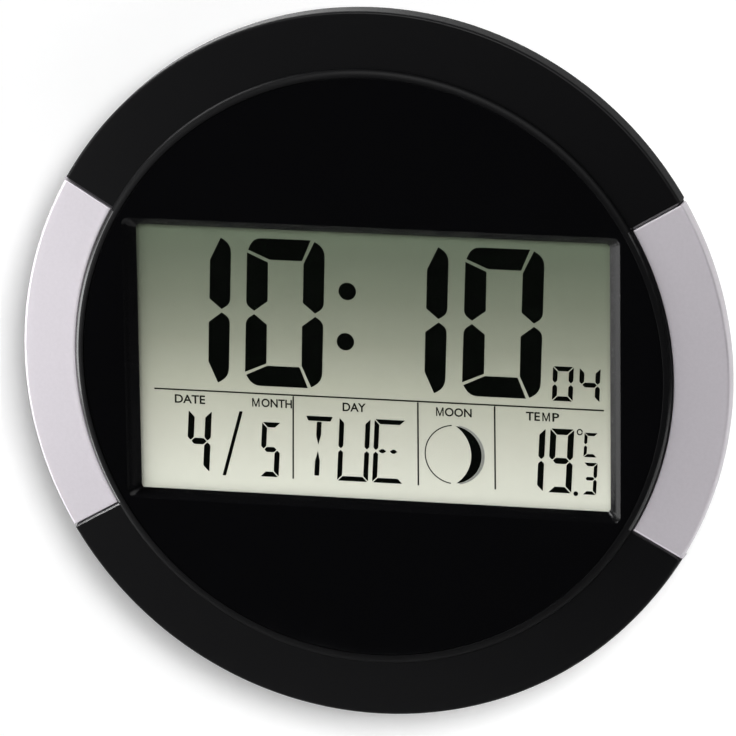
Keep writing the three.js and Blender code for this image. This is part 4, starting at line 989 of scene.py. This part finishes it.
def screw_shape(node, count=96):
    """A screw between its solid's two ends. Its head's height over its seat is a dome less the
    recess, whose depth falls along both arms of a cross; its thread is a wave of small depth."""
    low, high = (np.array(corner) * 1000 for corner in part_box(node))
    middle = (low + high) / 2
    length = high[1] - low[1]
    head_first = -1 if node.startswith("key_board") else 1
    radius = np.linspace(0, 1, 22)[1:] * head_radius
    turn = np.linspace(0, 2 * np.pi, count, endpoint=False)
    across = np.abs(radius[:, None] * np.cos(turn))
    up = np.abs(radius[:, None] * np.sin(turn))
    dome = head_height * (1 - head_fall * (radius / head_radius) ** 3)[:, None]
    arm, reach = np.minimum(across, up), np.maximum(across, up)
    arm_share = np.clip((recess_half - arm) / arm_slope, 0, 1)
    end_share = np.clip((recess_reach - reach) / end_slope, 0, 1)
    head = dome - recess_depth * arm_share * end_share
    thread_at = np.linspace(0, length - head_height - thread_end, 40)
    thread = thread_radius + thread_depth * np.abs(np.sin(np.pi * thread_at / thread_pitch))
    radii = np.concatenate([radius, [head_radius], thread, [tip_radius]])[:, None]
    heights = np.vstack([
        -head, np.zeros((1, count)),
        np.repeat(np.append(thread_at, length - head_height)[:, None], count, 1),
    ])
    heights = (heights + head_height - length / 2) * head_first
    places = turned(radii, heights, turn) + middle
    top = middle - (0, (recess_depth - length / 2) * head_first, 0)
    tip = middle - (0, (length / 2) * head_first, 0)
    return np.vstack([places, top, tip]), tube_faces(len(radii), count)


# A thin bright plating: a cool grey metal, a little uneven.
zinc = new_material(
    "zinc_plated_steel", "#9b9c9d", 0.35, grain=(0.5, 0.002, 0.28, 0.42), Metallic=1.0,
)
for name in [node for node in nodes if "_screw_" in node]:
    screw = new_piece(f"{name}_threaded", *screw_shape(name), zinc, "zinc_plate")
    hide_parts(name)


# Studio: a white paper wall behind the clock that curves into a floor below it, with soft lamps in
# front. The paper has only a front, so that the clock's back can be seen and lit through it.

# White paper: matt. It glows a little to the camera, in mirrors and through glass, so that it is
# bright without lighting the clock.
paper, tree = bare_material("white_studio_paper")
paper_glow = 0.2
path = add_node(tree, "LightPath")
seen = add_node(tree, "Math", {
    0: path.outputs["Is Camera Ray"], 1: path.outputs["Is Glossy Ray"],
}, operation="MAXIMUM")
seen = add_node(
    tree, "Math", {0: seen, 1: path.outputs["Is Transmission Ray"]}, operation="MAXIMUM",
)
glow_level = add_node(tree, "Math", {0: seen, 1: paper_glow}, operation="MULTIPLY")
lit_paper = add_node(tree, "BsdfDiffuse", {"Color": linear("#f2f2f2")})
glow = add_node(tree, "Emission", {"Strength": glow_level})
both = add_node(tree, "AddShader", {0: lit_paper, 1: glow})
side_seen = add_node(tree, "NewGeometry")
nothing = add_node(tree, "BsdfTransparent")
one_sided = add_node(
    tree, "MixShader", {0: side_seen.outputs["Backfacing"], 1: both, 2: nothing},
)
add_node(tree, "OutputMaterial", {"Surface": one_sided})

# The wall and floor, in metres.
cove_radius, cove_half, floor_z, floor_front = 0.3, 1.5, -0.55, -0.85
wall_y, wall_top = 0.001, 2.0
bend = np.radians(np.linspace(0, 90, 24))
cove = np.vstack([
    [(wall_y, wall_top)],
    np.column_stack([
        wall_y - cove_radius * (1 - np.cos(bend)), floor_z + cove_radius * (1 - np.sin(bend)),
    ]),
    [(floor_front, floor_z)],
])
cove_places = [(x, y, z) for x in (-cove_half, cove_half) for y, z in cove]
mesh = bpy.data.meshes.new("studio_cove")
mesh.from_pydata(cove_places, [], grid_faces(2, len(cove), False, False).tolist())
mesh.shade_smooth()
mesh.materials.append(paper)
backdrop = scene_object("studio_cove", mesh)
clock_parts = [made for made in bpy.context.scene.objects
               if made.type == "MESH" and made is not backdrop]


def group_of(name, members):
    """A collection of objects that a lamp lights, or is stopped by."""
    group = bpy.data.collections.new(name)
    for member in members:
        group.objects.link(member)
    return group


def soft_lamp(name, place, size, power, aim=(0, 0, 0)):
    """A white area lamp of that size in metres and power in watts, aimed at a point."""
    data = bpy.data.lights.new(name, "AREA")
    data.shape = "RECTANGLE"
    data.size, data.size_y = size
    data.energy = power
    lamp = scene_object(name, data)
    lamp.location = place
    lamp.rotation_euler = (Vector(aim) - Vector(place)).to_track_quat("-Z", "Y").to_euler()
    return lamp


# The lamps in front light the clock. The edge and foot lamps stand close to the wall on the left,
# above and below the clock, and draw the thin bright lines along the pockets' ends and the left
# trim. The wall has its own lamp, which casts the clock's soft shadow down to the left on it.
front_lamps = [
    soft_lamp("right_lamp", (1.0, -2.2, 1.3), (1.6, 1.6), 28),
    soft_lamp("left_lamp", (-1.15, -0.95, -0.1), (0.7, 0.9), 9),
    soft_lamp("side_lamp", (-1.6, -0.45, -0.35), (0.8, 0.8), 13, (0, -0.1, 0)),
    soft_lamp("top_lamp", (-0.25, -1.6, 1.0), (0.9, 0.8), 18),
    soft_lamp("edge_lamp", (-1.0, -0.14, 0.87), (0.45, 0.45), 15, (0, -0.03, 0)),
    soft_lamp("foot_lamp", (-0.575, -0.127, -0.36), (0.08, 0.2), 0.5, (-0.11, -0.03, -0.06)),
]
wall_lamp = soft_lamp("wall_lamp", (1.05, -2.35, 1.1), (1.1, 1.1), 76)
wall_lamp.light_linking.receiver_collection = group_of("backdrop", [backdrop])
# The back is lit through the wall, which is seen from its front only.
rear_lamp = soft_lamp("rear_lamp", (-1.5, 1.7, 1.5), (1.2, 1.2), 105)
clock_group = group_of("clock_parts", clock_parts)
for lamp in (*front_lamps, rear_lamp):
    lamp.light_linking.receiver_collection = clock_group
rear_lamp.light_linking.blocker_collection = clock_group

# The room is an even grey beyond the backdrop. Reflections see it pale on the left and behind the
# wall, and black curtains in front of the clock and to its right.
room_grey, dim_light, pale_share, behind_share = 0.35, 0.03, 0.7, 0.4
world = bpy.data.worlds.new("studio")
world.use_nodes = True
tree = world.node_tree
path = add_node(tree, "LightPath")
seen = add_node(tree, "Math", {
    0: path.outputs["Is Camera Ray"], 1: path.outputs["Is Transmission Ray"],
}, operation="MAXIMUM")
towards = add_node(tree, "TexCoord").outputs["Generated"]
towards = add_node(tree, "SeparateXYZ", {"Vector": towards})
pale_left = add_node(tree, "MapRange", {
    "Value": towards.outputs["X"], "From Min": -0.55, "From Max": -0.85, "To Max": pale_share,
})
pale_behind = add_node(tree, "MapRange", {
    "Value": towards.outputs["Y"], "From Min": 0.0, "From Max": 0.15, "To Max": behind_share,
})
mirrored = add_node(tree, "Math", {0: pale_left, 1: pale_behind}, operation="MAXIMUM")
mirrored = add_node(
    tree, "Math", {0: mirrored, 1: path.outputs["Is Glossy Ray"]}, operation="MULTIPLY",
)
strength = add_node(tree, "Math", {0: seen, 1: room_grey, 2: mirrored}, operation="MULTIPLY_ADD")
strength = add_node(tree, "Math", {0: strength, 1: dim_light})
set_inputs(tree.nodes["Background"], {"Color": linear("#ffffff"), "Strength": strength})
bpy.context.scene.world = world
bpy.context.scene.view_settings.view_transform = "Standard"

bpy.context.view_layer.update()
